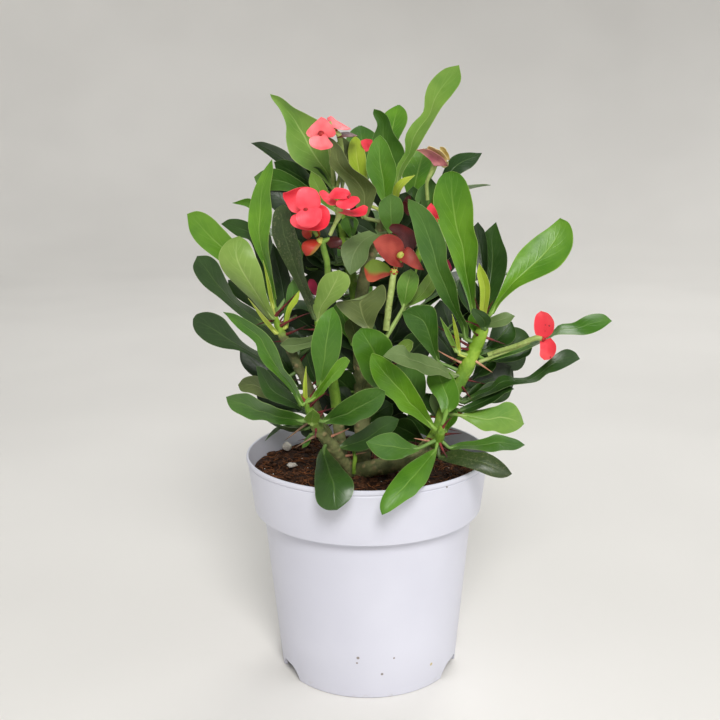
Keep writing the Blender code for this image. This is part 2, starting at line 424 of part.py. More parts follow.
def ball_mesh(centre, radius, squash=(1, 1, 1), subdivisions=1, rough=0.0):
    bm = bmesh.new()
    bmesh.ops.create_icosphere(bm, subdivisions=subdivisions, radius=1.0)
    for v in bm.verts:
        k = 1.0 + rough * math.sin(7.1 * v.co.x + 3.0) * math.cos(5.3 * v.co.y + 8.1 * v.co.z)
        v.co = (Vector(centre) + Vector((v.co.x * squash[0], v.co.y * squash[1], v.co.z * squash[2])) * radius * k) * MM
    bmesh.ops.recalc_face_normals(bm, faces=bm.faces[:])
    return bm


# --------------------------------------------------------------------------- objects
PLANT = bpy.data.collections.new("potted_plant")
bpy.context.scene.collection.children.link(PLANT)

TINTS = {
    "bright": ((0.16, 0.36, 0.055), 0.42), "light": ((0.24, 0.40, 0.09), 0.45), "mid": ((0.10, 0.25, 0.06), 0.42),
    "dark": ((0.045, 0.13, 0.035), 0.42), "pale": ((0.30, 0.42, 0.13), 0.5), "grey": ((0.20, 0.28, 0.15), 0.5),
    "lime": ((0.52, 0.62, 0.10), 0.45),
    "red": ((0.90, 0.09, 0.12), 0.45), "orange": ((0.75, 0.12, 0.04), 0.5), "maroon": ((0.22, 0.02, 0.03), 0.5),
    "brick": ((0.48, 0.07, 0.05), 0.5), "faded": ((0.62, 0.28, 0.16), 0.6),
    "stem": ((0.25, 0.33, 0.12), 0.6), "pot": ((0.80, 0.80, 0.87), 0.42), "soil": ((0.055, 0.025, 0.014), 0.95),
    "perlite": ((0.78, 0.74, 0.68), 0.8),
}


def material(name, tint):
    colour, rough = TINTS[tint]
    mat = bpy.data.materials.new(name)
    mat.use_nodes = True
    bsdf = mat.node_tree.nodes["Principled BSDF"]
    bsdf.inputs["Base Color"].default_value = (*colour, 1.0)
    bsdf.inputs["Roughness"].default_value = rough
    bsdf.inputs["Metallic"].default_value = 0.0
    mat.diffuse_color = (*colour, 1.0)
    return mat


def add(name, bm, tint, smooth=True, hidden=False):
    mesh = bpy.data.meshes.new(name)
    bm.to_mesh(mesh)
    bm.free()
    mesh.materials.append(material(name, tint))
    if smooth:
        mesh.shade_smooth()
        mesh.set_sharp_from_angle(angle=math.radians(40))
    obj = bpy.data.objects.new(name, mesh)
    PLANT.objects.link(obj)
    if hidden:
        obj.hide_render = True
        obj.display_type = "WIRE"
        obj.hide_set(True)
    return obj


def merged(meshes, seed=0):
    """One bmesh that holds several closed shells, each moved by a hair so that no two faces coincide."""
    out = bmesh.new()
    rnd = random.Random(seed)
    for bm in meshes:
        temp = bpy.data.meshes.new("shell")
        if seed:
            nudge = Vector((rnd.uniform(-1, 1), rnd.uniform(-1, 1), rnd.uniform(-1, 1))) * 0.03 * MM
            for v in bm.verts:
                v.co += nudge
        bm.to_mesh(temp)
        bm.free()
        out.from_mesh(temp)
        bpy.data.meshes.remove(temp)
    return out


def boolean(obj, cutter, operation, name):
    mod = obj.modifiers.new(name, "BOOLEAN")
    mod.operation = operation
    mod.solver = "EXACT"
    mod.use_self = operation == "UNION"
    mod.object = cutter
    return mod


def settle(obj):
    """Turns the finished union into plain faces and keeps its main body, without specks cut loose by the union."""
    bpy.context.view_layer.update()
    mesh = bpy.data.meshes.new_from_object(obj.evaluated_get(bpy.context.evaluated_depsgraph_get()))
    obj.modifiers.clear()
    bm = bmesh.new()
    bm.from_mesh(mesh)
    left, bodies = set(bm.verts), []
    while left:
        seed = left.pop()
        body, edge = {seed}, [seed]
        while edge:
            v = edge.pop()
            for e in v.link_edges:
                w = e.other_vert(v)
                if w not in body:
                    body.add(w)
                    edge.append(w)
        left -= body
        bodies.append(body)
    bodies.sort(key=len)
    for body in bodies[:-1]:
        bmesh.ops.delete(bm, geom=list(body), context="VERTS")
    bm.to_mesh(mesh)
    bm.free()
    obj.data = mesh
    mesh.shade_smooth()
    mesh.set_sharp_from_angle(angle=math.radians(40))
    return [len(body) for body in bodies[:-1]]


def tree_of(bm):
    return BVHTree.FromBMesh(bm)


# --------------------------------------------------------------------------- pot
def wall_r(z):
    """Outside radius of the pot at a height."""
    if z >= POT_COLLAR_Z:
        return POT_COLLAR_R + (POT_RIM_R - 0.5 - POT_COLLAR_R) * (z - POT_COLLAR_Z) / (POT_HEIGHT - 2.4 - POT_COLLAR_Z)
    return POT_FOOT_R + (POT_BODY_R - POT_FOOT_R) * z / POT_COLLAR_Z


def lathe(profile, segments):
    """Closed solid of revolution; the profile runs from the axis at the bottom to the axis at the top."""
    bm = bmesh.new()
    low = bm.verts.new((0, 0, profile[0][1] * MM))
    high = bm.verts.new((0, 0, profile[-1][1] * MM))
    rings = []
    for r, z in profile[1:-1]:
        rings.append([bm.verts.new((r * MM * math.cos(q), r * MM * math.sin(q), z * MM))
                      for q in (2 * math.pi * (s + 0.5) / segments for s in range(segments))])
    for k in range(segments):
        j = (k + 1) % segments
        bm.faces.new((low, rings[0][j], rings[0][k]))
        bm.faces.new((high, rings[-1][k], rings[-1][j]))
        for r0, r1 in zip(rings, rings[1:]):
            bm.faces.new((r0[k], r0[j], r1[j], r1[k]))
    bmesh.ops.recalc_face_normals(bm, faces=bm.faces[:])
    return bm


def make_pot():
    w, top = POT_WALL, POT_HEIGHT
    zf = POT_FLOOR_Z
    profile = [
        (0, 0), (POT_WELL_R, 0),                                    # disc that stands on the table
        (POT_WELL_R + 5.0, zf),                                     # well's slope
        (POT_FOOT_R - 2.2, zf), (POT_FOOT_R - 1.7, 0),              # floor, inside of the foot ring
        (POT_FOOT_R - 0.4, 0), (POT_FOOT_R, 0.5),                   # foot
        (POT_BODY_R, POT_COLLAR_Z + 0.15), (POT_COLLAR_R - 0.35, POT_COLLAR_Z), (POT_COLLAR_R, POT_COLLAR_Z + 0.4),
        (wall_r(top - 2.9), top - 2.9), (wall_r(top - 2.9) - 0.25, top - 2.5),   # groove under the lip
        (POT_RIM_R, top - 1.9), (POT_RIM_R, top - 0.7), (POT_RIM_R - 0.45, top),  # lip
        (POT_RIM_R - 1.1, top - 0.15),
        (POT_COLLAR_R - w + 0.3, POT_COLLAR_Z + w + 1.0), (POT_BODY_R - w, POT_COLLAR_Z - 1.0),
        (POT_FOOT_R - w + 0.6, zf + w + 1.0), (POT_FOOT_R - w - 1.0, zf + w),    # inside corner
        (POT_WELL_R + 5.6, zf + w), (POT_WELL_R + 0.7, w), (0, w),
    ]
    pot = add("pot", lathe(profile, POT_SEGMENTS), "pot")
    cutters = []
    for centre, span in NOTCHES:
        bm = bmesh.new()
        ring_in, ring_out, n = POT_FOOT_R - 5.0, POT_FOOT_R + 3.0, 8
        low, high = [], []
        for k in range(n + 1):
            x = k / n
            q = math.radians(-90 + centre - span / 2 + span * x)
            h = NOTCH_HEIGHT * min(1.0, 1.25 * math.sin(math.pi * x)) ** 0.6 if 0 < x < 1 else 0.02
            low.append([bm.verts.new((r * math.cos(q) * MM, r * math.sin(q) * MM, -2 * MM)) for r in (ring_in, ring_out)])
            high.append([bm.verts.new((r * math.cos(q) * MM, r * math.sin(q) * MM, h * MM)) for r in (ring_in, ring_out)])
        for k in range(n):
            bm.faces.new((low[k][0], low[k + 1][0], low[k + 1][1], low[k][1]))
            bm.faces.new((high[k][0], high[k][1], high[k + 1][1], high[k + 1][0]))
            bm.faces.new((low[k][0], high[k][0], high[k + 1][0], low[k + 1][0]))
            bm.faces.new((low[k][1], low[k + 1][1], high[k + 1][1], high[k][1]))
        bm.faces.new((low[0][0], low[0][1], high[0][1], high[0][0]))
        bm.faces.new((low[n][0], high[n][0], high[n][1], low[n][1]))
        bmesh.ops.recalc_face_normals(bm, faces=bm.faces[:])
        cutters.append(bm)
    for k in range(DRAIN_HOLES):
        q = 2 * math.pi * (k + 0.5) / DRAIN_HOLES
        bm = bmesh.new()
        bmesh.ops.create_cone(bm, cap_ends=True, segments=10, radius1=DRAIN_HOLE_R * MM, radius2=DRAIN_HOLE_R * MM, depth=6 * MM)
        for v in bm.verts:
            v.co += Vector((DRAIN_HOLE_RING_R * math.cos(q), DRAIN_HOLE_RING_R * math.sin(q), POT_FLOOR_Z + 0.5)) * MM
        cutters.append(bm)
    cutter = add("pot_openings", merged(cutters), "pot", smooth=False, hidden=True)
    boolean(pot, cutter, "DIFFERENCE", "drain openings")
    return pot


def make_soil():
    """Plug that fills the pot and follows the inside of its wall."""
    g, w, zf = GAP, POT_WALL, POT_FLOOR_Z
    inner_top = POT_COLLAR_R - w + 0.3 + (POT_RIM_R - 1.1 - (POT_COLLAR_R - w + 0.3)) * (SOIL_TOP - POT_COLLAR_Z - w - 1.0) / (POT_HEIGHT - 0.15 - POT_COLLAR_Z - w - 1.0)
    profile = [
        (0, w + g), (POT_WELL_R + 0.4, w + g), (POT_WELL_R + 5.2, zf + w + g), (POT_FOOT_R - w - 1.3 - g, zf + w + g),
        (POT_FOOT_R - w + 0.3 - g, zf + w + 1.3), (POT_BODY_R - w - g, POT_COLLAR_Z - 0.8),
        (POT_COLLAR_R - w + 0.3 - g, POT_COLLAR_Z + w + 1.25), (inner_top - g, SOIL_TOP), (0, SOIL_TOP),
    ]
    return add("soil", lathe(profile, POT_SEGMENTS), "soil")


def make_perlite():
    spots = (("perlite_1", (287, 449), 2.6, (1.0, 0.9, 0.85)), ("perlite_2", (292, 466), 2.1, (1.2, 0.8, 0.6)))
    for name, (a, d), r, squash in spots:
        ground = at_height(a, d, SOIL_TOP + 1.2)
        centre = (ground.x, ground.y, SOIL_TOP + GAP + r * squash[2] * 1.12)
        add(name, ball_mesh(centre, r, squash, 1, 0.12), "perlite", smooth=False)


# --------------------------------------------------------------------------- plant
def clear_of_stem(rows_at, reach, axis):
    """Smallest start along a blade at which its first row stands clear of the stem's bark."""
    t = 0.0
    while t < 0.3:
        row = rows_at(t)[0][0]
        if all(distance_to(axis, p) > reach for p in row):
            return t
        t += 0.01
    return 0.0


def distance_to(axis, p):
    """Distance from a point to the bark of the nearest branch."""
    best = 1e9
    for a, b in axis:
        pa, pb = Vector(a[:3]), Vector(b[:3])
        ab = pb - pa
        u = max(0.0, min(1.0, (p - pa).dot(ab) / max(1e-9, ab.length_squared)))
        best = min(best, (p - pa - ab * u).length - (a[3] + (b[3] - a[3]) * u))
    return best


def nearest_on(axis, p):
    """Point on the nearest branch's axis."""
    best, found = 1e9, None
    for a, b in axis:
        pa, pb = Vector(a[:3]), Vector(b[:3])
        ab = pb - pa
        q = pa + ab * max(0.0, min(1.0, (p - pa).dot(ab) / max(1e-9, ab.length_squared)))
        if (p - q).length < best:
            best, found = (p - q).length, q
    return found


def make_leaves(axis):
    trees = []
    for name, tint, ea, eb, tip, depths, tilt, fold in BLADES:
        def rows_at(t, n=7):
            return sheet_rows(ea, eb, tip, depths, tilt, fold, n, t)
        start = clear_of_stem(rows_at, BLADE_THICK * 0.5 + 0.35, axis)
        rows, end = rows_at(start, 6)
        bm = blade_mesh(rows, end, BLADE_THICK)
        trees.append(tree_of(bm))
        add(name, bm, tint)
    for name, tint, foot, heading, rise, length, width, droop, roll in SPRAYS:
        rows, end = spray_rows(foot, heading, rise, length, width, droop, roll, 6)
        bm = blade_mesh(rows, end, BLADE_THICK)
        trees.append(tree_of(bm))
        add(name, bm, tint)
    return trees


def make_flowers():
    trees = []
    for name, centre, cup, stalk in STALKS:
        tint = next(b[1] for b in BRACTS if b[0] == name)
        shells = []
        for bract in BRACTS:
            if bract[0] != name:
                continue
            rows, end = sheet_rows(bract[2], bract[3], bract[4], bract[5], bract[6], bract[7], 4)
            shells.append(blade_mesh(rows, end, BRACT_THICK, simple=True))
        points = []
        for a, d, depth, r in stalk:
            p = at_depth(a, d, depth)
            points.append((p.x, p.y, p.z, r))
        shells.append(tube_mesh(points, 5))
        trees += [tree_of(s) for s in shells]
        extra = add(name + "_parts", merged(shells, FLOWER_SEED), tint, smooth=False, hidden=True)
        c = at_depth(*centre)
        heart = add(name, ball_mesh((c.x, c.y, c.z), cup, (1, 1, 1), 1), tint)
        boolean(heart, extra, "UNION", "bracts and stalk")
    return trees


def thorn_mesh(foot, point, r):
    bm = bmesh.new()
    along = (point - foot).normalized()
    u = along.cross(Vector((0.2, 0.3, 1))).normalized()
    v = along.cross(u)
    start = foot
    ring = [bm.verts.new((start + (u * math.cos(q) + v * math.sin(q)) * r) * MM) for q in (math.pi * s / 2 for s in range(4))]
    tip = bm.verts.new(point * MM)
    for k in range(4):
        bm.faces.new((ring[k], ring[(k + 1) % 4], tip))
    bm.faces.new(list(reversed(ring)))
    bmesh.ops.recalc_face_normals(bm, faces=bm.faces[:])
    return bm


def make_stem(others, axis):
    """Trunk, side branches, thorns and youngest blades as one growth."""
    points = [branch_points(b) for b in BRANCHES]
    order = [3] + [k for k in range(len(points)) if k != 3]
    shells = []
    for k in order:
        shells.append(tube_mesh(points[k], 7, flat_foot=BRANCHES[k][0][2] is None))
    trunk = shells.pop(0)
    for tint, ea, eb, tip, depths, tilt, fold in YOUNG:
        rows, end = sheet_rows(ea, eb, tip, depths, tilt, fold, 5)
        root = nearest_on(axis, rows[0][2])
        if (root - rows[0][2]).dot(rows[0][2] - rows[1][2]) > 0.8 * (rows[0][2] - rows[1][2]).length:
            spread = (rows[0][4] - rows[0][0]).normalized() * 0.5
            rows.insert(0, [root + spread * x for x in (-2, -1, 0, 1, 2)])
        shells.append(blade_mesh(rows, end, BLADE_THICK, simple=True))
    for foot, point in THORNS:
        bm = thorn_mesh(nearest_on(axis, at_depth(*foot)), at_depth(*point), THORN_R)
        tree = tree_of(bm)
        if any(tree.overlap(other) for other in others):
            bm.free()                       # a blade lies in its way, so no thorn stands there
            continue
        shells.append(bm)
    extra = add("stem_growth", merged(shells, STEM_SEED), "stem", smooth=False, hidden=True)
    stem = add("stem", trunk, "stem")
    boolean(stem, extra, "UNION", "branches, thorns and young blades")
    bm = bmesh.new()
    bmesh.ops.create_cube(bm, size=1.0)
    for v in bm.verts:
        v.co = Vector((v.co.x * 70, v.co.y * 70, SOIL_TOP + GAP - 10 + v.co.z * 20)) * MM
    ground = add("soil_level", bm, "soil", smooth=False, hidden=True)
    boolean(stem, ground, "DIFFERENCE", "level with the soil")
    settle(stem)
    return stem


def main():
    for obj in list(bpy.data.objects):
        if obj.name not in PLANT.objects:
            bpy.data.objects.remove(obj, do_unlink=True)
    make_pot()
    make_soil()
    make_perlite()
    axis = []
    for branch in BRANCHES:
        pts = branch_points(branch)
        smooth = [spline(pts, k / 24) for k in range(25)]
        axis += list(zip(smooth, smooth[1:]))
    others = make_leaves(axis) + make_flowers()
    make_stem(others, axis)


main()
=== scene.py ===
import math
import random

import bmesh
import bpy
from mathutils import Matrix, Vector, noise


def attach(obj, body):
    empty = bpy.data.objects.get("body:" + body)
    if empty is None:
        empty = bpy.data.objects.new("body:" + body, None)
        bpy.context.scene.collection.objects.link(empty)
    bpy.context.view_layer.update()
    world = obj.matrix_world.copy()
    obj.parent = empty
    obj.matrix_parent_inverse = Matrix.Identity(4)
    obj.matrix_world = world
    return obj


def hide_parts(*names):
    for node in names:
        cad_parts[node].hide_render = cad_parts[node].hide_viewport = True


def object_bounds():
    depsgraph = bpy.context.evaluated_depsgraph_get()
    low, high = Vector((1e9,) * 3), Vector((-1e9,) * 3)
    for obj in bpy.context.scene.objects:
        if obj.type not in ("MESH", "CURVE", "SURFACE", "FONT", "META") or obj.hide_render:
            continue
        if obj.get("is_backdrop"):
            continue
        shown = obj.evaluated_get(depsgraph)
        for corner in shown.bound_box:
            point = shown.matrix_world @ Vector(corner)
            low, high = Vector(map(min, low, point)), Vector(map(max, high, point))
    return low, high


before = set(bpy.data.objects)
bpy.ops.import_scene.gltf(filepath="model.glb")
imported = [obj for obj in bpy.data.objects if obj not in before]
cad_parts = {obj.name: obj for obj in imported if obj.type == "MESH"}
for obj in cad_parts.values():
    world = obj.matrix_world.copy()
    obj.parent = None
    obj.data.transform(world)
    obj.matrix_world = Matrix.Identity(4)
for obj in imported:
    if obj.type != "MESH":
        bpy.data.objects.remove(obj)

# --------------------------------------------------------------------------- driving dimensions
MM = 0.001

POT_HEIGHT = 110.5          # foot to top of lip
POT_RIM_R = 60.0            # outside radius of the lip
POT_COLLAR_R = 56.4         # outside radius at the collar's lower edge
POT_COLLAR_Z = 82.8         # height of the collar's lower edge
POT_BODY_R = 52.1           # outside radius just under the collar
POT_FOOT_R = 44.5           # outside radius of the foot
POT_WALL = 1.2
POT_FLOOR_Z = 6.4           # underside of the raised floor
POT_WELL_R = 13.0           # flat disc in the middle that stands on the table
POT_SEGMENTS = 44

NOTCH_HEIGHT = 6.2          # drain notches in the foot ring
NOTCHES = ((67.0, 28.0), (-62.0, 25.0), (113.0, 28.0), (-118.0, 25.0))   # centre and span, degrees from the front
DRAIN_HOLE_R = 3.6
DRAIN_HOLE_RING_R = 29.0
DRAIN_HOLES = 8

SOIL_TOP = 101.5
GAP = 0.35                  # clearance where separate pieces touch

BLADE_THICK = 0.9           # leaf thickness along the midrib
BRACT_THICK = 0.8
THORN_R = 0.8               # thorn radius where it leaves the bark

# The plant is laid out on an elevation sheet of 720 by 720 divisions, drawn in perspective from
# a station in front of the pot. A point is (across, down, depth): across and down are sheet
# divisions, and depth is the distance in mm behind the upright plane through the pot's axis.
SHEET = 720.0
SHEET_FOCAL = 1047.8        # divisions
STATION = (3.08, -498.7, 270.5)
STATION_PITCH = math.radians(12.89)
STATION_YAW = math.radians(-0.73)
STATION_ROLL = math.radians(-0.50)


# Each blade: name, tint, one edge and the other from base to tip on the elevation sheet,
# the tip, depths in mm from base to tip, tilt (mm that the first edge lies behind the second)
# and fold (mm that the midrib lies behind the edges; negative brings it forward).
BLADES = [
    # --- upper left shoot -------------------------------------------------------------------
    ("leaf_left_1", "bright", "262,306 240,276 218,260 199,245 190,232", "268,302 254,270 240,248 222,228 208,215 197,211", "187,214", (0, 9, 14, 12), 5, 2.0),
    ("leaf_left_2", "pale", "270,320 262,312 250,298 231,281 221,268 219,255 228,241", "275,317 267,296 262,272 255,255 248,242", "239,236", (-11, -19, -24, -20), 6, -2.2),
    ("leaf_left_3", "bright", "273,309 265,270 254,246 248,225 252,195 262,173", "278,307 275,290 271,265 268,243 272,215 270,190 273,170", "272,159", (-3, 3, 5, 2), 7, 2.0),
    ("leaf_left_4", "dark", "263,327 245,319 220,298 203,285 193,268", "266,320 252,308 236,297 226,280 218,263 209,256", "197,256", (-6, -4, 2, 5), 8, 1.6),
    ("leaf_left_5", "dark", "284,381 272,370 258,361 240,351 222,348 208,343 197,334 193,326", "287,375 276,362 262,353 250,347 240,340 231,328 222,317 208,312 197,314", "193,319", (-9, -7, 2, 6), 6, 1.8),
    ("leaf_left_6", "bright", "300,407 291,391 277,376 265,365 258,353 256,344 249,337 240,330 232,322 227,316", "304,403 298,390 292,379 284,369 281,360 276,347 267,334 258,327 248,321 235,314", "223,312", (-33, -33, -34, -28), 7, 1.6),
    ("leaf_left_7", "dark", "313,320 297,286 284,262 273,238 272,222 275,210", "317,316 313,298 305,275 301,250 294,227 289,209", "283,204", (-16, -19, -22, -20), 7, 1.4),
    # --- low left shoot ---------------------------------------------------------------------
    ("leaf_low_left_1", "mid", "303,425 290,425 277,424 264,420 252,420 241,415 232,410 228,404", "304,417 292,412 280,409 270,405 261,401 254,396 247,393 236,394", "226,397", (-32, -37, -38, -34), 11, 2.4),
    ("leaf_low_left_2", "bright", "317,389 315,371 312,357 311,345 314,331 319,319 326,311", "323,388 331,369 338,359 341,345 342,330 339,317", "333,307", (-34, -40, -45, -42), 5, 1.4),
    ("leaf_low_left_3", "mid", "325,424 335,424 345,425 353,425 360,420 369,417 376,412 382,405 385,397", "323,419 331,411 340,403 350,397 360,391 369,389 377,388", "385,391", (-33, -40, -45, -46), 8, 2.0),
    ("leaf_low_left_4", "dark", "321,449 317,457 316,466 315,478 315,490 316,499 320,506 327,510", "327,449 332,456 338,463 345,472 352,479 354,488 351,498 345,504", "337,510", (-27, -43, -60, -67, -70), 3, -2.0),
    # --- top left ---------------------------------------------------------------------------
    ("leaf_top_1", "light", "332,190 319,176 303,167 291,157 286,140 286,125 280,110 272,99", "337,186 335,172 331,156 328,138 322,124 308,115 292,106 280,97", "270,94", (8, 7, 9, 14), 6, 2.2),
    ("leaf_top_2", "dark", "322,190 302,178 283,166 264,152", "325,184 314,172 300,163 281,149 263,142", "251,143", (18, 22, 26, 28), 10, 1.5),
    ("leaf_top_3", "dark", "362,219 353,200 345,182 336,172 329,163 331,152", "368,216 374,200 377,189 367,178 352,167 342,149 334,140", "326,136", (-1, -5, -8, -7), 7, 2.0),
    ("leaf_top_4", "light", "383,204 373,185 366,168 369,149 374,140", "388,203 393,190 397,172 392,154 386,141", "380,135", (-3, -5, -6, -4), 4, 1.6),
    ("leaf_top_5", "dark", "386,197 378,166 372,142 377,125 373,114", "390,196 402,168 404,150 394,133 388,117 381,111", "374,109", (10, 12, 14, 12), 5, 2.4),
    ("leaf_top_6", "light", "394,191 397,166 405,152 405,137 412,124 423,112 425,95 430,82 444,69", "399,189 403,172 414,154 424,137 434,121 443,106 453,94 461,80", "459,65", (5, 5, 4, 2, 0), 7, 1.8),
    ("leaf_top_7", "dark", "440,182 445,167 452,157 462,153", "444,184 455,178 466,171 476,163", "482,153", (9, 10, 14, 18), 9, 1.0),
    # --- upper right shoot ------------------------------------------------------------------
    ("leaf_right_1", "bright", "472,319 467,298 456,270 447,245 438,222 433,200 437,182 443,174", "476,318 475,300 475,270 478,246 474,228 473,203 467,183 460,174", "452,171", (-2, 2, 3, 1), 6, 2.0),
    ("leaf_right_2", "mid", "463,340 461,328 452,312 441,299 432,281 424,264 418,248 412,222 408,208", "468,338 468,325 461,313 458,300 455,283 447,262 446,245 440,228 430,212 418,203", "408,199", (-9, -20, -30, -31, -28), 7, 2.0),
    ("leaf_right_3", "bright", "489,313 496,300 508,272 519,252 535,237 548,228", "494,314 502,301 520,286 541,277 559,267 571,250 573,235 569,223", "560,218", (-7, -6, -2, 3), 9, 2.2),
    ("leaf_right_4", "dark", "486,349 492,340 503,333 513,327 525,331", "485,358 495,362 508,362 521,359 530,354", "533,343", (4, 7, 9, 9), 6, 1.6),
    ("leaf_right_5", "mid", "487,358 503,352 522,346 541,338 553,331 560,325 573,323 588,315 603,314", "488,362 504,357 524,351 545,342 556,335 567,334 585,335 600,330", "612,321", (-5, -4, -1, 4, 8), 13, 1.2),
    ("leaf_right_6", "mid", "463,400 480,390 491,386 498,377 505,375 515,378 528,377 536,371 548,361 556,354 566,349 575,352", "464,405 480,398 498,391 512,385 528,383 538,381 547,374 557,371 568,366", "580,359", (-14, -17, -14, -8, -3), 10, 1.5),
    ("leaf_right_7", "dark", "460,408 470,403 485,396 499,390 509,386", "461,413 470,412 481,408 493,402 504,394", "514,389", (-19, -21, -20, -17), 8, 1.4),
    # --- low right shoot --------------------------------------------------------------------
    ("leaf_low_right_1", "pale", "461,414 472,411 485,409 497,406 505,402 513,403 519,410", "460,417 472,424 484,431 494,431 503,434 513,432 520,428", "524,424", (-22, -23, -18, -12), 7, -1.0),
    ("leaf_low_right_2", "mid", "450,446 462,442 475,441 488,437 496,434 508,437 518,440", "450,450 462,449 476,450 490,452 502,450 515,450", "525,445", (-29, -32, -30, -24), 11, 1.6),
    ("leaf_low_right_3", "dark", "441,455 450,451 461,450 475,452 487,453 499,460 507,467", "438,459 450,463 466,467 480,472 490,476 500,478 507,477", "512,474", (-30, -40, -45, -47), 8, -1.6),
    ("leaf_low_right_4", "bright", "434,449 424,454 412,461 402,469 393,480 386,490 381,500 380,508", "437,451 435,460 431,472 426,483 420,489 415,495 407,500 397,507 389,512", "382,515", (-31, -46, -60, -67, -71), 4, -1.6),
    ("leaf_low_right_5", "mid", "418,446 410,443 402,438 395,433 386,433 376,436", "419,451 410,455 401,459 390,460 381,458 371,450", "366,442", (-33, -41, -47, -50), 9, 1.8),
    ("leaf_low_right_6", "bright", "431,429 420,421 411,415 401,411 394,401 386,395 380,389 374,380 370,368 370,359", "434,424 429,414 424,403 417,391 410,380 402,370 391,362 381,356", "372,353", (-26, -33, -38, -40), 5, 1.8),
    ("leaf_low_right_7", "bright", "442,413 437,399 430,389 427,377", "450,412 458,405 459,393 455,380 449,372", "438,366", (-24, -21, -15, -11), 4, 1.4),
    # --- middle -----------------------------------------------------------------------------
    ("leaf_middle_1", "dark", "383,391 372,386 363,376 358,363 353,350 353,337", "387,388 389,370 393,354 391,342 382,333 373,329", "361,328", (-24, -29, -33, -30), 5, 1.8),
    ("leaf_middle_2", "grey", "456,373 445,367 433,359 420,354 410,352 404,345 393,347", "457,377 450,379 440,375 428,375 417,369 403,366 393,361", "383,356", (-12, -27, -40, -50), 12, 1.2),
    ("leaf_middle_3", "dark", "437,362 425,348 415,336 406,324", "440,361 438,345 438,325 434,308 418,305", "402,312", (-7, -12, -17, -20), 5, 1.6),
    # --- behind -----------------------------------------------------------------------------
]
# Blades that grow away from the front: name, tint, foot (x, y, z mm), heading and rise in
# degrees, length, width, droop in degrees over the length, roll in degrees.
SPRAYS = [
    ("leaf_back_1", "bright", (-12, 22, 222), 142, 38, 62, 21, 40, 10),
    ("leaf_back_2", "mid", (16, 18, 214), 28, 30, 60, 20, 44, -12),
    ("leaf_back_3", "dark", (-24, 20, 182), 146, 18, 58, 20, 34, 14),
    ("leaf_back_4", "mid", (24, 16, 178), 12, 22, 56, 19, 36, -8),
    ("leaf_back_5", "bright", (2, 22, 196), 92, 34, 60, 21, 48, 6),
    ("leaf_back_6", "mid", (-4, 16, 150), 78, 30, 58, 20, 60, -10),
]

# Youngest blades, which are one growth with the shoot they sit on: same columns as BLADES.
YOUNG = [
    ("lime", "271,309 267,285", "275,308 270,283", "263,260", (-11, -15, -15), 1, 0.5),
    ("lime", "275,335 263,321", "278,332 266,318", "248,298", (-11, -15, -17), 2, 0.4),
    ("lime", "283,328 287,308 294,297", "288,328 291,311 298,301", "300,289", (-10, -13, -14), 2, 0.5),
    ("lime", "394,200 393,189 401,179", "397,201 402,189 408,182", "415,175", (1, -3, -5), 3, 0.8),
    ("pale", "317,319 313,308 316,296 319,283 326,274", "320,318 330,306 342,296 350,284 348,275", "339,270", (-18, -24, -28), 6, -1.2),
    ("lime", "479,318 480,290 477,274", "486,317 490,290 487,276", "479,263", (-8, -10, -9), 3, 1.0),
    ("grey", "483,321 496,315 506,312", "484,328 497,327 508,324", "515,316", (-7, -12, -12), 6, 0.8),
    ("lime", "458,356 454,332", "461,353 458,332", "452,314", (-12, -18, -20), 2, 0.3),
    ("lime", "303,405 303,385", "308,405 307,385", "306,366", (-31, -35, -36), 1, 0.5),
    ("dark", "339,446 349,437 360,431 370,424 378,418 389,416", "341,449 352,451 360,451 372,447 386,437 395,429", "399,419", (-21, -27, -28), 6, 1.4),
    ("dark", "484,316 478,282 479,250 483,235", "489,316 500,290 506,273 507,255 502,240", "496,222", (-5, 8, 11, 11), 6, 1.2),
    ("grey", "386,229 368,231 350,238 341,248 344,264", "388,233 376,240 370,247 367,260 358,270", "350,275", (3, -12, -20), 6, 1.2),
]

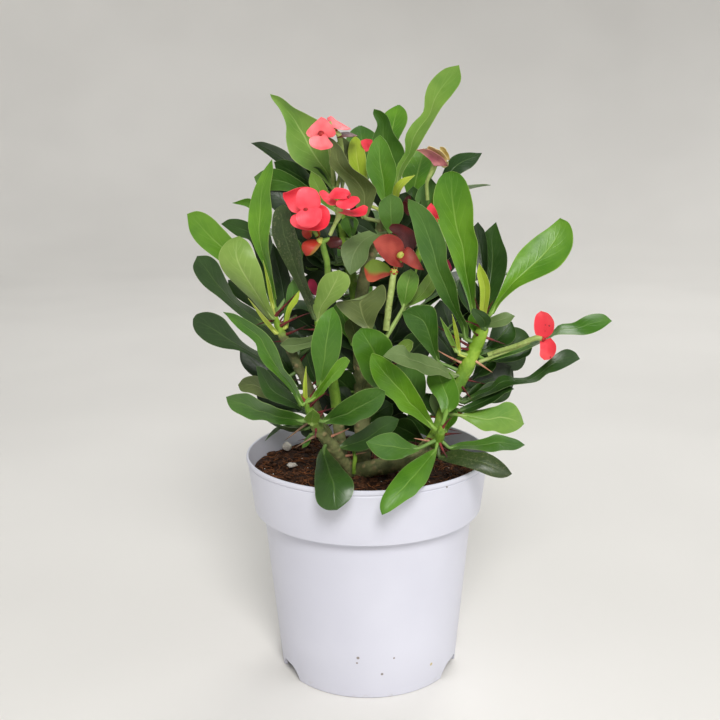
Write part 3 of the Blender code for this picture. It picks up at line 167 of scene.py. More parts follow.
# Stem: branches as (across, down, depth, radius mm). A first depth of None starts the branch
# on the soil.
BRANCHES = [
    # low left shoot
    [(353, 474, None, 3.9), (343, 461, -16, 3.5), (332, 446, -21, 3.3), (322, 433, -25, 3.0), (314, 420, -29, 2.6), (309, 409, -31, 2.0), (306, 402, -32, 1.1)],
    # upper left shoot
    [(352, 473, None, 3.4), (338, 455, -13, 3.0), (325, 433, -9, 2.8), (316, 408, -7, 2.6), (306, 382, -7, 2.4), (296, 362, -8, 2.3), (287, 343, -9, 2.2), (279, 328, -9, 1.9), (275, 316, -9, 1.1)],
    # middle left shoot
    [(342, 459, -14, 2.9), (339, 430, -11, 2.8), (335, 395, -12, 2.6), (328, 358, -14, 2.4), (321, 336, -16, 2.1), (317, 321, -17, 1.3)],
    # trunk and crown
    [(360, 471, None, 4.6), (363, 440, -2, 4.2), (362, 400, 2, 3.8), (360, 350, 4, 3.5), (361, 300, 5, 3.2), (369, 260, 5, 2.9), (381, 228, 4, 2.5), (389, 210, 3, 2.1), (393, 200, 3, 1.2)],
    # upper left side branch
    [(361, 330, 5, 2.8), (354, 290, 9, 2.6), (347, 250, 10, 2.5), (340, 215, 9, 2.2), (335, 195, 8, 1.4)],
    # upper right side branch
    [(362, 380, 3, 2.8), (382, 340, 9, 2.7), (402, 300, 11, 2.5), (418, 260, 12, 2.3), (430, 220, 11, 2.1), (438, 192, 10, 1.8), (441, 184, 10, 1.1)],
    # middle side branch
    [(362, 410, 2, 2.8), (370, 385, -6, 2.7), (379, 360, -13, 2.5), (384, 341, -17, 1.9)],
    # right shoot: low over the soil, then up
    [(359, 473, None, 4.3), (372, 468, -18, 4.0), (390, 465, -19, 4.0), (407, 459, -20, 3.7), (423, 450, -21, 3.4), (437, 433, -19, 3.3), (445, 410, -14, 3.2), (455, 390, -10, 3.3), (464, 372, -8, 3.5), (474, 350, -7, 3.4), (482, 331, -6, 3.0), (484, 321, -5, 1.8)],
    # low right shoot tip
    [(431, 444, -20, 2.8), (438, 440, -26, 2.6), (441, 432, -30, 2.0), (442, 426, -31, 1.2)],
]

# Thorns: foot and point on the sheet with their depths.
THORNS = [
    ((279, 309, -9), (299, 291, -13)), ((272, 320, -9), (256, 325, -14)), ((284, 325, -9), (312, 312, -16)),
    ((286, 334, -9), (308, 325, -17)), ((316, 401, -31), (319, 384, -35)), ((316, 405, -31), (328, 391, -38)),
    ((319, 411, -29), (338, 407, -34)), ((306, 421, -29), (284, 441, -33)), ((312, 436, -25), (293, 449, -29)),
    ((315, 424, -28), (315, 440, -34)), ((303, 403, -31), (296, 389, -34)), ((334, 433, -23), (350, 428, -28)),
    ((346, 455, -18), (368, 452, -24)), ((432, 437, -24), (424, 437, -31)), ((446, 436, -29), (463, 433, -34)),
    ((446, 432, -30), (453, 416, -35)), ((450, 409, -15), (479, 421, -22)), ((441, 444, -28), (451, 463, -36)),
    ((430, 443, -24), (413, 438, -26)), ((464, 345, -8), (436, 325, -13)), ((470, 349, -9), (449, 346, -17)),
    ((476, 326, -8), (463, 320, -14)), ((480, 337, -9), (473, 331, -16)), ((487, 338, -6), (507, 345, -9)),
    ((456, 361, -10), (437, 350, -15)), ((477, 361, -9), (493, 373, -17)), ((460, 383, -11), (472, 400, -19)),
    ((488, 313, -6), (494, 300, -9)), ((477, 312, -7), (474, 296, -11)),
]

# Bracts: the petal-like pairs of each flower; same columns as YOUNG, after the flower's name.
BRACTS = [
    ("flower_left_1", "red", "302,211 297,206 296,198 298,191 302,188", "312,210 320,206 320,198 317,191 312,188", "307,187", (-35, -37, -35), 1, 0.6),
    ("flower_left_1", "red", "301,210 296,215 297,222 301,226", "312,206 321,209 322,217 318,224 313,227", "308,228", (-35, -38, -36), 1, 0.6),
    ("flower_left_2", "red", "299,214 291,211 286,203 283,197", "312,212 320,204 320,196 314,190 305,187 295,189 287,192", "283,193", (-31, -31, -33), 3, 1.2),
    ("flower_left_2", "red", "300,213 292,216 290,221 293,226 300,229 308,230", "318,204 325,206 329,211 330,218 327,226", "319,231", (-31, -31, -33), 2, 1.2),
    ("flower_left_3", "red", "351,194 348,190 341,188 335,188 331,192", "349,199 341,199 334,199", "328,197", (-33, -32, -31), 7, 0.8),
    ("flower_left_3", "red", "343,199 337,201 336,205 340,208", "353,196 358,197 360,201 357,204 352,208", "346,209", (-34, -37, -39), 1, 0.8),
    ("flower_left_4", "red", "337,205 330,205 324,201 321,197", "338,201 332,198 328,193 323,190", "319,192", (-29, -27, -26), -6, 1.5),
    ("flower_left_4", "red", "336,211 343,214 352,216 360,216 366,214", "337,207 345,209 352,210 359,207 364,205", "368,207", (-28, -29, -27), -8, 1.5),
    ("flower_stalk_left", "orange", "311,239 303,243 302,249", "322,241 320,246 315,252 311,255", "306,256", (-26, -29, -29), 2, -1.2),
    ("flower_stalk_left", "maroon", "325,239 327,244 331,248", "335,236 341,239 342,244", "337,248", (-26, -28, -28), 2, -1.0),
    ("flower_top_1", "red", "316,137 309,137 306,133 310,127 315,122", "326,137 333,137 336,133 332,126 326,119", "321,117", (-9.8, -11.2, -10.4), 1, 0.6),
    ("flower_top_1", "red", "317,135 310,138 309,142 312,147", "325,134 330,141 333,145 331,148", "321,150", (-11.8, -14.2, -16), 2, 0.8),
    ("flower_top_2", "red", "327,118 331,116 336,120 343,124", "331,127 338,129 345,130", "351,129", (-7, -6, -4), 5, 0.8),
    ("flower_top_2", "maroon", "338,133 345,132 352,133", "337,138 344,137 351,137", "358,136", (-5, -4, -2), 7, 0.6),
    ("flower_top_3", "faded", "433,160 429,156 423,152", "441,161 436,155 431,151 424,150", "417,150", (4, 2, -1), 6, 0.6),
    ("flower_top_3", "faded", "436,165 441,166 444,168", "440,160 445,161 448,162", "448,166", (4, 3, 2), 5, 0.6),
    ("flower_right_1", "red", "539,339 535,333 534,324 536,315", "547,338 553,332 554,322 549,314", "541,311", (-13, -15, -14), 4, 0.8),
    ("flower_right_1", "red", "540,341 540,350 540,356", "551,338 556,345 555,354 550,359", "544,360", (-13, -16, -15), 4, 0.8),
    ("flower_middle_1", "brick", "403,267 396,267 389,264 381,256 376,249", "405,250 402,241 396,236 388,234 380,236", "373,242", (-18, -21, -22), -3, 1.2),
    ("flower_middle_1", "brick", "396,258 401,261 408,265 416,269", "403,253 407,247 412,249 417,256 421,264", "424,270", (-19, -22, -21), -3, 0.8),
    ("flower_middle_2", "maroon", "403,248 398,237 392,232 389,228", "412,252 417,243 414,232 405,226 398,224", "392,224", (-15, -14, -15), -3, 1.4),
    ("flower_middle_2", "brick", "393,274 380,279 373,282 368,281 365,274", "393,271 385,263 378,260 371,260", "364,267", (-17, -18, -20), 3, 1.2),
]

# Flower centres: name, cup centre, cup radius, then its stalk as (across, down, depth, radius mm).
STALKS = [
    ("flower_left_1", (306, 210, -34.6), 1.9, [(306, 211, -34, 0.9), (307, 216, -33.4, 0.9)]),
    ("flower_left_2", (309, 211, -31), 1.9, [(309, 211, -31, 1.1), (310, 222, -28.5, 1.0), (317, 236, -27, 0.9)]),
    ("flower_left_3", (349, 198, -33.4), 1.7, [(349, 198, -33, 0.9), (347, 203, -31.5, 0.9)]),
    ("flower_left_4", (339, 206, -29), 1.8, [(339, 206, -29, 1.9), (339, 215, -28, 1.4), (335, 224, -27, 0.9), (330, 235, -26, 0.9)]),
    ("flower_stalk_left", (320, 241, -26), 1.9, [(330, 239, -26, 0.9), (323, 242, -26, 1.3), (327, 262, -22, 1.4), (327, 282, -19, 1.4), (320, 309, -18, 1.3)]),
    ("flower_top_1", (321, 134, -10.8), 2.1, [(322, 133, -9.6, 0.9), (326, 140, -5.5, 1.2), (330, 150, -1, 1.0), (333, 176, 5, 0.9), (333, 184, 7, 0.9)]),
    ("flower_top_2", (334, 131, -5.5), 1.8, [(329, 122, -7, 0.9), (335, 131, -5.5, 1.0), (339, 135, -5, 1.3), (342, 160, 3, 0.9), (337, 189, 7, 0.9)]),
    ("flower_top_3", (436, 161, 4), 1.8, [(436, 161, 4, 1.9), (432, 171, 4.5, 1.1), (427, 182, 5, 0.9), (427, 192, 6, 0.9), (427.5, 200, 6.5, 0.9)]),
    ("flower_right_1", (543, 339, -12.6), 1.8, [(543, 339, -12.5, 1.2), (536, 338, -12, 1.3), (518, 345, -11, 1.1), (502, 350, -10, 1.1), (488, 355, -9, 1.2)]),
    ("flower_middle_1", (401, 256, -18.5), 2.2, [(401, 256, -18, 1.2), (400.5, 263, -17.4, 1.0)]),
    ("flower_middle_2", (394, 272, -17.5), 2.0, [(407, 250, -15.5, 1.0), (398, 262, -15.2, 1.0), (394, 272, -17.5, 1.3), (392, 285, -19, 1.5), (389, 305, -20, 1.5), (386, 330, -19, 1.5)]),
]


# --------------------------------------------------------------------------- sheet to space
def station_axes():
    """Sight line, sheet's across and sheet's up, as unit vectors."""
    cp, sp = math.cos(STATION_PITCH), math.sin(STATION_PITCH)
    cy, sy = math.cos(STATION_YAW), math.sin(STATION_YAW)
    sight = Vector((sy * cp, cy * cp, -sp))
    across = Vector((cy, -sy, 0.0))
    up = across.cross(sight)
    cr, sr = math.cos(STATION_ROLL), math.sin(STATION_ROLL)
    return sight, cr * across + sr * up, -sr * across + cr * up


SIGHT, ACROSS, UP = station_axes()
EYE = Vector(STATION)


def ray(a, d):
    return SIGHT + (a - SHEET / 2) / SHEET_FOCAL * ACROSS + (SHEET / 2 - d) / SHEET_FOCAL * UP


def at_depth(a, d, depth):
    """Sheet point at a depth behind the pot's axis, in mm."""
    r = ray(a, d)
    return EYE + r * ((depth - EYE.y) / r.y)


def at_height(a, d, z):
    r = ray(a, d)
    return EYE + r * ((z - EYE.z) / r.z)


# --------------------------------------------------------------------------- curves
def spline(points, t):
    """Catmull-Rom curve through the points, t from 0 to 1 by length of the point chain."""
    n = len(points)
    if n == 2:
        return tuple(p + (q - p) * t for p, q in zip(points[0], points[1]))
    lengths = [0.0]
    for p, q in zip(points, points[1:]):
        lengths.append(lengths[-1] + max(1e-6, math.dist(p, q)))
    s = t * lengths[-1]
    i = 0
    while i < n - 2 and s > lengths[i + 1]:
        i += 1
    u = (s - lengths[i]) / (lengths[i + 1] - lengths[i])
    h = lengths[i + 1] - lengths[i]

    def slope(j, c):
        if j == 0:
            return (points[1][c] - points[0][c]) / (lengths[1] - lengths[0])
        if j == n - 1:
            return (points[-1][c] - points[-2][c]) / (lengths[-1] - lengths[-2])
        return (points[j + 1][c] - points[j - 1][c]) / (lengths[j + 1] - lengths[j - 1])

    out = []
    for c in range(len(points[0])):
        p, q, m0, m1 = points[i][c], points[i + 1][c], slope(i, c) * h, slope(i + 1, c) * h
        out.append((2 * u**3 - 3 * u**2 + 1) * p + (u**3 - 2 * u**2 + u) * m0
                   + (-2 * u**3 + 3 * u**2) * q + (u**3 - u**2) * m1)
    return tuple(out)


def chain(values, t):
    """Smooth value through evenly spaced stations, t from 0 to 1."""
    n = len(values)
    x = t * (n - 1)
    i = min(n - 2, int(x))
    u = x - i
    p0, p1, p2, p3 = values[max(0, i - 1)], values[i], values[i + 1], values[min(n - 1, i + 2)]
    return 0.5 * (2 * p1 + (p2 - p0) * u + (2 * p0 - 5 * p1 + 4 * p2 - p3) * u * u + (3 * p1 - p0 - 3 * p2 + p3) * u**3)


def pairs(text):
    return [tuple(float(x) for x in item.split(",")) for item in text.split()]


# --------------------------------------------------------------------------- tubes
def branch_points(branch):
    out = []
    for a, d, depth, r in branch:
        if depth is None:
            p = at_height(a, d, SOIL_TOP + GAP)
            out.append((p.x, p.y, p.z - 4.0, r))
        else:
            p = at_depth(a, d, depth)
        out.append((p.x, p.y, p.z, r))
    return out


def tube_mesh(points, sides, flat_foot=False, steps=None):
    """Closed tube through (x, y, z, radius) points in mm."""
    bm = bmesh.new()
    if steps:
        samples = [spline(points, k / (steps - 1)) for k in range(steps)]
    else:
        spans = [math.dist(p[:3], q[:3]) for p, q in zip(points, points[1:])]
        reach, at = sum(spans), 0.0
        samples = [spline(points, 0.0)]
        for span in spans:
            parts = 1 + int(span / 9.0)
            samples += [spline(points, min(1.0, (at + span * (k + 1) / parts) / reach)) for k in range(parts)]
            at += span
    count = len(samples)
    rings, ref = [], Vector((0.3, -0.2, 1.0)).normalized()
    for k, smp in enumerate(samples):
        p = Vector(smp[:3])
        a = Vector(samples[max(0, k - 1)][:3])
        b = Vector(samples[min(count - 1, k + 1)][:3])
        along = (b - a).normalized()
        if flat_foot and k == 0:
            along = Vector((0, 0, 1))
        if abs(along.dot(ref)) > 0.97:
            ref = Vector((1, 0.2, 0)).normalized()
        u = along.cross(ref).normalized()
        v = along.cross(u)
        rings.append([bm.verts.new((p + (u * math.cos(q) + v * math.sin(q)) * smp[3]) * MM)
                      for q in (2 * math.pi * s / sides for s in range(sides))])
        ref = v * -1 if abs(v.dot(ref)) > 0 and v.dot(ref) < 0 else v
        ref = (ref + along * 0.0).normalized()
    for r0, r1 in zip(rings, rings[1:]):
        # start each ring at the vertex nearest the last ring's start, so that the tube can't twist
        best = min(range(sides), key=lambda s: sum((r1[(k + s) % sides].co - r0[k].co).length for k in range(sides)))
        flip = min(range(sides), key=lambda s: sum((r1[(s - k) % sides].co - r0[k].co).length for k in range(sides)))
        cost_a = sum((r1[(k + best) % sides].co - r0[k].co).length for k in range(sides))
        cost_b = sum((r1[(flip - k) % sides].co - r0[k].co).length for k in range(sides))
        order = [r1[(k + best) % sides] for k in range(sides)] if cost_a <= cost_b else [r1[(flip - k) % sides] for k in range(sides)]
        r1[:] = order
        for k in range(sides):
            bm.faces.new((r0[k], r0[(k + 1) % sides], r1[(k + 1) % sides], r1[k]))
    bm.faces.new(list(reversed(rings[0])))
    bm.faces.new(rings[-1])
    bmesh.ops.triangulate(bm, faces=bm.faces[:])
    bmesh.ops.recalc_face_normals(bm, faces=bm.faces[:])
    return bm


def ball_mesh(centre, radius, squash=(1, 1, 1), subdivisions=1, rough=0.0):
    bm = bmesh.new()
    bmesh.ops.create_icosphere(bm, subdivisions=subdivisions, radius=1.0)
    for v in bm.verts:
        k = 1.0 + rough * math.sin(7.1 * v.co.x + 3.0) * math.cos(5.3 * v.co.y + 8.1 * v.co.z)
        v.co = (Vector(centre) + Vector((v.co.x * squash[0], v.co.y * squash[1], v.co.z * squash[2])) * radius * k) * MM
    bmesh.ops.recalc_face_normals(bm, faces=bm.faces[:])
    return bm




# --------------------------------------------------------------------------- shading helpers
def lin(r, g, b):
    out = []
    for c in (r, g, b):
        c /= 255.0
        out.append(c / 12.92 if c <= 0.04045 else ((c + 0.055) / 1.055) ** 2.4)
    return (out[0], out[1], out[2], 1.0)


class Shader:
    """Wires one Principled material."""

    def __init__(self, name):
        self.mat = bpy.data.materials.new(name)
        self.mat.use_nodes = True
        self.tree = self.mat.node_tree
        self.bsdf = self.tree.nodes["Principled BSDF"]
        self.place = self.node("TexCoord").outputs["Object"]

    def node(self, kind, **props):
        n = self.tree.nodes.new("ShaderNode" + kind)
        for key, value in props.items():
            setattr(n, key, value)
        return n

    def put(self, value, socket):
        if isinstance(value, (int, float, tuple)):
            socket.default_value = value
        else:
            self.tree.links.new(value, socket)

    def math(self, op, a, b=None, c=None, clamp=False):
        n = self.node("Math", operation=op, use_clamp=clamp)
        for i, x in enumerate((a, b, c)):
            if x is not None:
                self.put(x, n.inputs[i])
        return n.outputs[0]

    def band(self, x, lo, hi, a=0.0, b=1.0):
        n = self.node("MapRange", interpolation_type="SMOOTHSTEP")
        for i, value in enumerate((x, lo, hi, a, b)):
            self.put(value, n.inputs[i])
        return n.outputs[0]

    def noise(self, scale, detail=3.0, rough=0.55, vector=None, distortion=0.0):
        n = self.node("TexNoise")
        self.put(vector or self.place, n.inputs["Vector"])
        n.inputs["Scale"].default_value = scale
        n.inputs["Detail"].default_value = detail
        n.inputs["Roughness"].default_value = rough
        n.inputs["Distortion"].default_value = distortion
        return n.outputs[0]

    def cells(self, scale, feature="F1"):
        n = self.node("TexVoronoi", feature=feature)
        self.put(self.place, n.inputs["Vector"])
        n.inputs["Scale"].default_value = scale
        return n.outputs["Distance"]

    def mix(self, fac, a, b, blend="MIX"):
        n = self.node("Mix", data_type="RGBA", blend_type=blend)
        self.put(fac, n.inputs[0])
        self.put(a, n.inputs[6])
        self.put(b, n.inputs[7])
        return n.outputs[2]

    def near(self, point, reach):
        """1 within a small distance of a point, falling to 0."""
        n = self.node("VectorMath", operation="DISTANCE")
        self.put(self.place, n.inputs[0])
        n.inputs[1].default_value = tuple(point)
        return self.band(n.outputs["Value"], reach, reach * 0.6)

    def finish(self, colour, rough, height=None, strength=0.3, distance=0.0005, specular=0.5):
        self.put(colour, self.bsdf.inputs["Base Color"])
        self.put(rough, self.bsdf.inputs["Roughness"])
        self.bsdf.inputs["Specular IOR Level"].default_value = specular
        if height is not None:
            n = self.node("Bump")
            n.inputs["Strength"].default_value = strength
            n.inputs["Distance"].default_value = distance
            self.put(height, n.inputs["Height"])
            self.put(n.outputs[0], self.bsdf.inputs["Normal"])
        return self.mat


def leaf_material(name, low, high, vein, margin, rough=0.4, veins=0.1, rib=0.55, count=9.0, blotch=None):
    s = Shader(name)
    sep = s.node("SeparateXYZ")
    s.put(s.node("UVMap", uv_map="leaf").outputs[0], sep.inputs[0])
    u, v = sep.outputs[0], sep.outputs[1]
    mid = s.math("ABSOLUTE", s.math("SUBTRACT", u, 0.5))
    broad = s.noise(38.0, 3.0)
    fine = s.noise(520.0, 4.0, 0.6)
    colour = s.mix(s.band(broad, 0.30, 0.70), low, high)
    colour = s.mix(s.math("MULTIPLY", s.band(fine, 0.35, 0.8), 0.16), colour, high)
    colour = s.mix(s.math("MULTIPLY", s.band(s.noise(150.0, 4.0, 0.6), 0.45, 0.8), 0.20), colour, low)
    lines = s.math("ADD", s.math("SUBTRACT", s.math("MULTIPLY", v, count), s.math("MULTIPLY", mid, count * 0.62)),
                   s.math("MULTIPLY", fine, 0.35))
    line = s.math("ABSOLUTE", s.math("SUBTRACT", s.math("FRACT", lines), 0.5))
    line = s.math("MULTIPLY", s.band(line, 0.37, 0.49), s.math("MULTIPLY", s.band(mid, 0.0, 0.06), s.band(mid, 0.40, 0.16)))
    colour = s.mix(s.math("MULTIPLY", line, veins), colour, vein)
    spine = s.math("MULTIPLY", s.band(mid, 0.034, 0.006), s.band(v, 1.0, 0.5, 0.05, 1.0))
    colour = s.mix(s.math("MULTIPLY", spine, rib), colour, vein)
    colour = s.mix(s.math("MULTIPLY", s.band(v, 0.16, 0.0), 0.4), colour, vein)
    rim = s.band(mid, 0.474, 0.497)
    colour = s.mix(s.math("MULTIPLY", rim, 0.5), colour, margin)
    if blotch:
        if "speckled" in name:
            spot = s.math("MULTIPLY", s.band(s.noise(900.0, 4.0, 0.7), 0.50, 0.66), s.band(s.noise(90.0, 2.0), 0.3, 0.6))
            colour = s.mix(s.math("MULTIPLY", spot, 0.6), colour, blotch)
        else:
            spot = s.math("MULTIPLY", s.band(s.noise(170.0, 3.0), 0.64, 0.74), s.band(mid, 0.30, 0.5, 0.15, 0.9))
            colour = s.mix(s.math("MULTIPLY", spot, 0.35), colour, blotch)
    height = s.math("SUBTRACT", s.math("MULTIPLY", fine, 0.35), s.math("ADD", s.math("MULTIPLY", spine, 0.8), s.math("MULTIPLY", line, 0.18)))
    roughness = s.band(s.noise(120.0, 3.0), 0.25, 0.8, rough - 0.06, rough + 0.12)
    return s.finish(colour, roughness, height, 0.4, 0.0006, 0.42)


def bract_material(name, low, high, vein, rough=0.42, second=None, across=0.5, specks=None):
    s = Shader(name)
    sep = s.node("SeparateXYZ")
    s.put(s.node("UVMap", uv_map="leaf").outputs[0], sep.inputs[0])
    u, v = sep.outputs[0], sep.outputs[1]
    mid = s.math("ABSOLUTE", s.math("SUBTRACT", u, 0.5))
    fine = s.noise(620.0, 4.0, 0.6)
    colour = s.mix(s.band(s.noise(90.0, 2.0), 0.34, 0.66), low, high)
    rays = s.math("ABSOLUTE", s.math("SUBTRACT", s.math("FRACT", s.math("ADD", s.math("MULTIPLY", u, 11.0), s.math("MULTIPLY", fine, 0.6))), 0.5))
    ray_fac = s.math("MULTIPLY", s.band(rays, 0.36, 0.5), s.band(v, 1.0, 0.3))
    colour = s.mix(s.math("MULTIPLY", ray_fac, 0.14), colour, vein)
    colour = s.mix(s.math("MULTIPLY", s.band(v, 0.16, 0.0), 0.55), colour, vein)
    colour = s.mix(s.math("MULTIPLY", s.band(mid, 0.455, 0.5), 0.3), colour, high)
    if second:
        side = s.math("ADD", u, s.math("MULTIPLY", s.noise(160.0, 3.0), 0.35))
        colour = s.mix(s.band(side, across + 0.02, across + 0.30), colour, second)
    if specks:
        colour = s.mix(s.math("MULTIPLY", s.band(s.cells(260.0), 0.16, 0.08), 0.75), colour, specks)
    height = s.math("SUBTRACT", s.math("MULTIPLY", fine, 0.3), s.math("MULTIPLY", ray_fac, 0.6))
    return s.finish(colour, s.band(fine, 0.2, 0.8, rough - 0.05, rough + 0.15), height, 0.3, 0.0005, 0.4)


def stem_material(name, low, high, scar, rough=0.6, ring=0.5, fade=None):
    s = Shader(name)
    fine = s.noise(700.0, 5.0, 0.65)
    mid = s.noise(130.0, 4.0, 0.6)
    colour = s.mix(s.band(mid, 0.35, 0.65), low, high)
    marks = s.band(s.cells(210.0), 0.34, 0.12)
    colour = s.mix(s.math("MULTIPLY", marks, ring), colour, scar)
    colour = s.mix(s.math("MULTIPLY", s.band(fine, 0.5, 0.8), 0.45), colour, scar)
    if fade:
        z = s.node("SeparateXYZ")
        s.put(s.place, z.inputs[0])
        for z0, z1, young_low, young_high in fade:
            level = s.math("ADD", z.outputs[2], s.math("MULTIPLY", s.math("SUBTRACT", mid, 0.5), 0.012))
            young = s.mix(s.band(mid, 0.35, 0.65), young_low, young_high)
            young = s.mix(s.math("MULTIPLY", s.band(fine, 0.55, 0.85), 0.3), young, scar)
            colour = s.mix(s.band(level, z0, z1), colour, young)
    height = s.math("ADD", s.math("MULTIPLY", fine, 0.6), s.math("ADD", s.math("MULTIPLY", marks, 0.8), mid))
    return s.finish(colour, s.band(fine, 0.2, 0.8, rough - 0.1, rough + 0.2), height, 0.55, 0.0009, 0.35)


def plain_grain(name, low, high, rough, scale=300.0, strength=0.5, distance=0.0008, specular=0.3, spread=(0.35, 0.65)):
    s = Shader(name)
    fine = s.noise(scale, 5.0, 0.65)
    colour = s.mix(s.band(fine, *spread), low, high)
    colour = s.mix(s.math("MULTIPLY", s.noise(scale * 0.2, 2.0), 0.4), colour, low)
    return s.finish(colour, s.band(fine, 0.2, 0.8, rough - 0.1, min(1.0, rough + 0.1)), fine, strength, distance, specular)


# --------------------------------------------------------------------------- shapes
class Shape:
    """Gathers closed shells that become one mesh."""

    def __init__(self):
        self.verts, self.faces, self.slots, self.uvs = [], [], [], []

    def shell(self, verts, faces, slots, uvs=None):
        base = len(self.verts)
        self.verts += [tuple(v) for v in verts]
        self.uvs += uvs or [(0.5, 0.4)] * len(verts)
        self.faces += [tuple(base + k for k in f) for f in faces]
        self.slots += [slots] * len(faces) if isinstance(slots, int) else slots

    def bmesh(self, bm, slot, rough=0.0, scale=400.0, uv=(0.5, 0.4)):
        bm.verts.ensure_lookup_table()
        bm.verts.index_update()
        if rough:
            bm.normal_update()
            for v in bm.verts:
                v.co += v.normal * (noise.noise(v.co * scale) + 0.5 * noise.noise(v.co * scale * 2.3)) * rough * MM
        self.shell([v.co.copy() for v in bm.verts], [[v.index for v in f.verts] for f in bm.faces], slot, [uv] * len(bm.verts))
        bm.free()

    def to_object(self, name, materials, sharp=50.0):
        mesh = bpy.data.meshes.new(name)
        mesh.from_pydata(self.verts, [], self.faces)
        for mat in materials:
            mesh.materials.append(mat)
        mesh.polygons.foreach_set("material_index", self.slots)
        layer = mesh.uv_layers.new(name="leaf")
        corner = [0] * len(mesh.loops)
        mesh.loops.foreach_get("vertex_index", corner)
        flat = []
        for k in corner:
            flat += self.uvs[k]
        layer.data.foreach_set("uv", flat)
        bm = bmesh.new()
        bm.from_mesh(mesh)
        bmesh.ops.recalc_face_normals(bm, faces=bm.faces[:])
        bm.to_mesh(mesh)
        bm.free()
        mesh.shade_smooth()
        mesh.set_sharp_from_angle(angle=math.radians(sharp))
        obj = bpy.data.objects.new(name, mesh)
        bpy.context.scene.collection.objects.link(obj)
        return obj


def fine_grid(edge_a, edge_b, tip, depths, tilt, fold, rows, cols, t_from=0.0):
    a, b, end = pairs(edge_a), pairs(edge_b), pairs(tip)[0]
    a, b = a + [end], b + [end]
    grid, marks = [], []
    for i in range(rows):
        t = t_from + (1.0 - t_from) * (1.0 - (1.0 - i / rows) ** 1.6)
        pa, pb = spline(a, t), spline(b, t)
        swell = math.sin(math.pi * min(1.0, t ** 0.8)) ** 0.75 if 0 < t < 1 else 0.0
        depth = chain(depths, t)
        row = []
        for j in range(cols):
            s = j / (cols - 1)
            lean = tilt * (0.5 - s) * swell
            hollow = fold * swell * (1.0 - (2 * s - 1) ** 2)
            row.append(at_depth(pa[0] + (pb[0] - pa[0]) * s, pa[1] + (pb[1] - pa[1]) * s, depth + lean + hollow))
        grid.append(row)
        marks.append(t)
    return grid, marks, at_depth(end[0], end[1], depths[-1])


def spray_grid(foot, heading, rise, length, width, droop, roll, rows, cols):
    az = math.radians(heading)
    steps = 60
    p = Vector(foot)
    spine = [p.copy()]
    for k in range(steps):
        e = math.radians(rise + droop * 0.35 - droop * (k / steps))
        p = p + Vector((math.cos(az) * math.cos(e), math.sin(az) * math.cos(e), math.sin(e))) * (length / steps)
        spine.append(p.copy())
    side = Vector((-math.sin(az), math.cos(az), 0))
    grid, marks = [], []
    for i in range(rows):
        t = 1.0 - (1.0 - i / rows) ** 1.6
        k = t * steps
        j = min(steps - 1, int(k))
        c = spine[j].lerp(spine[j + 1], k - j)
        along = (spine[j + 1] - spine[j]).normalized()
        up = side.cross(along) * -1
        r = math.radians(roll * math.sin(math.pi * t))
        s = side * math.cos(r) + up * math.sin(r)
        n = s.cross(along) * -1
        half = width / 2 * max(0.11, math.sin(math.pi * t ** 1.45) ** 0.8 if 0 < t < 1 else 0.11)
        xs = [-1 + 2 * q / (cols - 1) for q in range(cols)]
        grid.append([c + s * half * x + n * half * 0.20 * abs(x) ** 1.4 for x in xs])
        marks.append(t)
    return grid, marks, spine[-1]


def sheet_shell(shape, grid, marks, tip, thick, seed, front=0, back=1, wave=0.5, rib=0.3, toward=None):
    """Thin closed blade with a front and a back skin, a sunk midrib and a slightly wavy margin."""
    n, m = len(grid), len(grid[0])
    normals = []
    for i in range(n):
        ahead = grid[i + 1] if i + 1 < n else [tip] * m
        behind = grid[i - 1] if i else grid[0]
        row = []
        for j in range(m):
            k = (grid[i][min(m - 1, j + 1)] - grid[i][max(0, j - 1)]).cross(ahead[j] - behind[j])
            row.append(k.normalized() if k.length > 1e-12 else Vector((0, -1, 0)))
        normals.append(row)
    total = Vector((0, 0, 0))
    for row in normals:
        for k in row:
            total += k
    facing = toward if toward is not None else SIGHT * -1
    sign = 1.0 if total.dot(facing) >= 0 else -1.0
    verts, uvs = [], []
    span = max((grid[n // 2][-1] - grid[n // 2][0]).length, (grid[n // 3][-1] - grid[n // 3][0]).length, 1.0)
    amp = wave * min(1.0, span / 14.0)
    for skin in (1.0, -1.0):
        for i, row in enumerate(grid):
            t = marks[i]
            for j, p in enumerate(row):
                s = j / (m - 1)
                x = abs(2 * s - 1)
                h = -rib * math.exp(-((s - 0.5) / 0.045) ** 2) * (1.0 - t)
                h += 0.03 * math.cos(2 * math.pi * (t * 9 - x * 2.6)) * (1 - x) * min(1.0, x * 5)
                h += amp * x * math.sin(math.pi * min(1.0, t * 1.02)) * noise.noise(Vector((s * 1.7 + seed * 3.13, t * 3.6, seed * 1.77)))
                h += amp * 0.35 * x * x * noise.noise(Vector((s * 2.0 + seed, t * 11.0, seed * 0.7))) * min(1.0, (1 - t) * 6) * min(1.0, t * 5)
                half = max(0.07, thick * 0.5 * (1 - 0.8 * x ** 2.2) * (1.0 - 0.55 * t))
                verts.append((p + normals[i][j] * sign * (h + skin * half)) * MM)
                uvs.append((s, t))
        verts.append((tip + normals[-1][m // 2] * sign * skin * 0.07) * MM)
        uvs.append((0.5, 1.0))
    size = n * m + 1
    faces, slots = [], []
    for side, slot in ((0, front), (size, back)):
        for i in range(n - 1):
            for j in range(m - 1):
                a = side + i * m + j
                faces.append((a, a + 1, a + m + 1, a + m))
                slots.append(slot)
        for j in range(m - 1):
            a = side + (n - 1) * m + j
            faces.append((a, a + 1, side + n * m))
            slots.append(slot)
    for j in (0, m - 1):
        for i in range(n - 1):
            a, b = i * m + j, (i + 1) * m + j
            faces.append((a, b, b + size, a + size))
            slots.append(front)
        a = (n - 1) * m + j
        faces.append((a, n * m, n * m + size, a + size))
        slots.append(front)
    faces.append(tuple(range(m)) + tuple(size + j for j in reversed(range(m))))
    slots.append(front)
    shape.shell(verts, faces, slots, uvs)


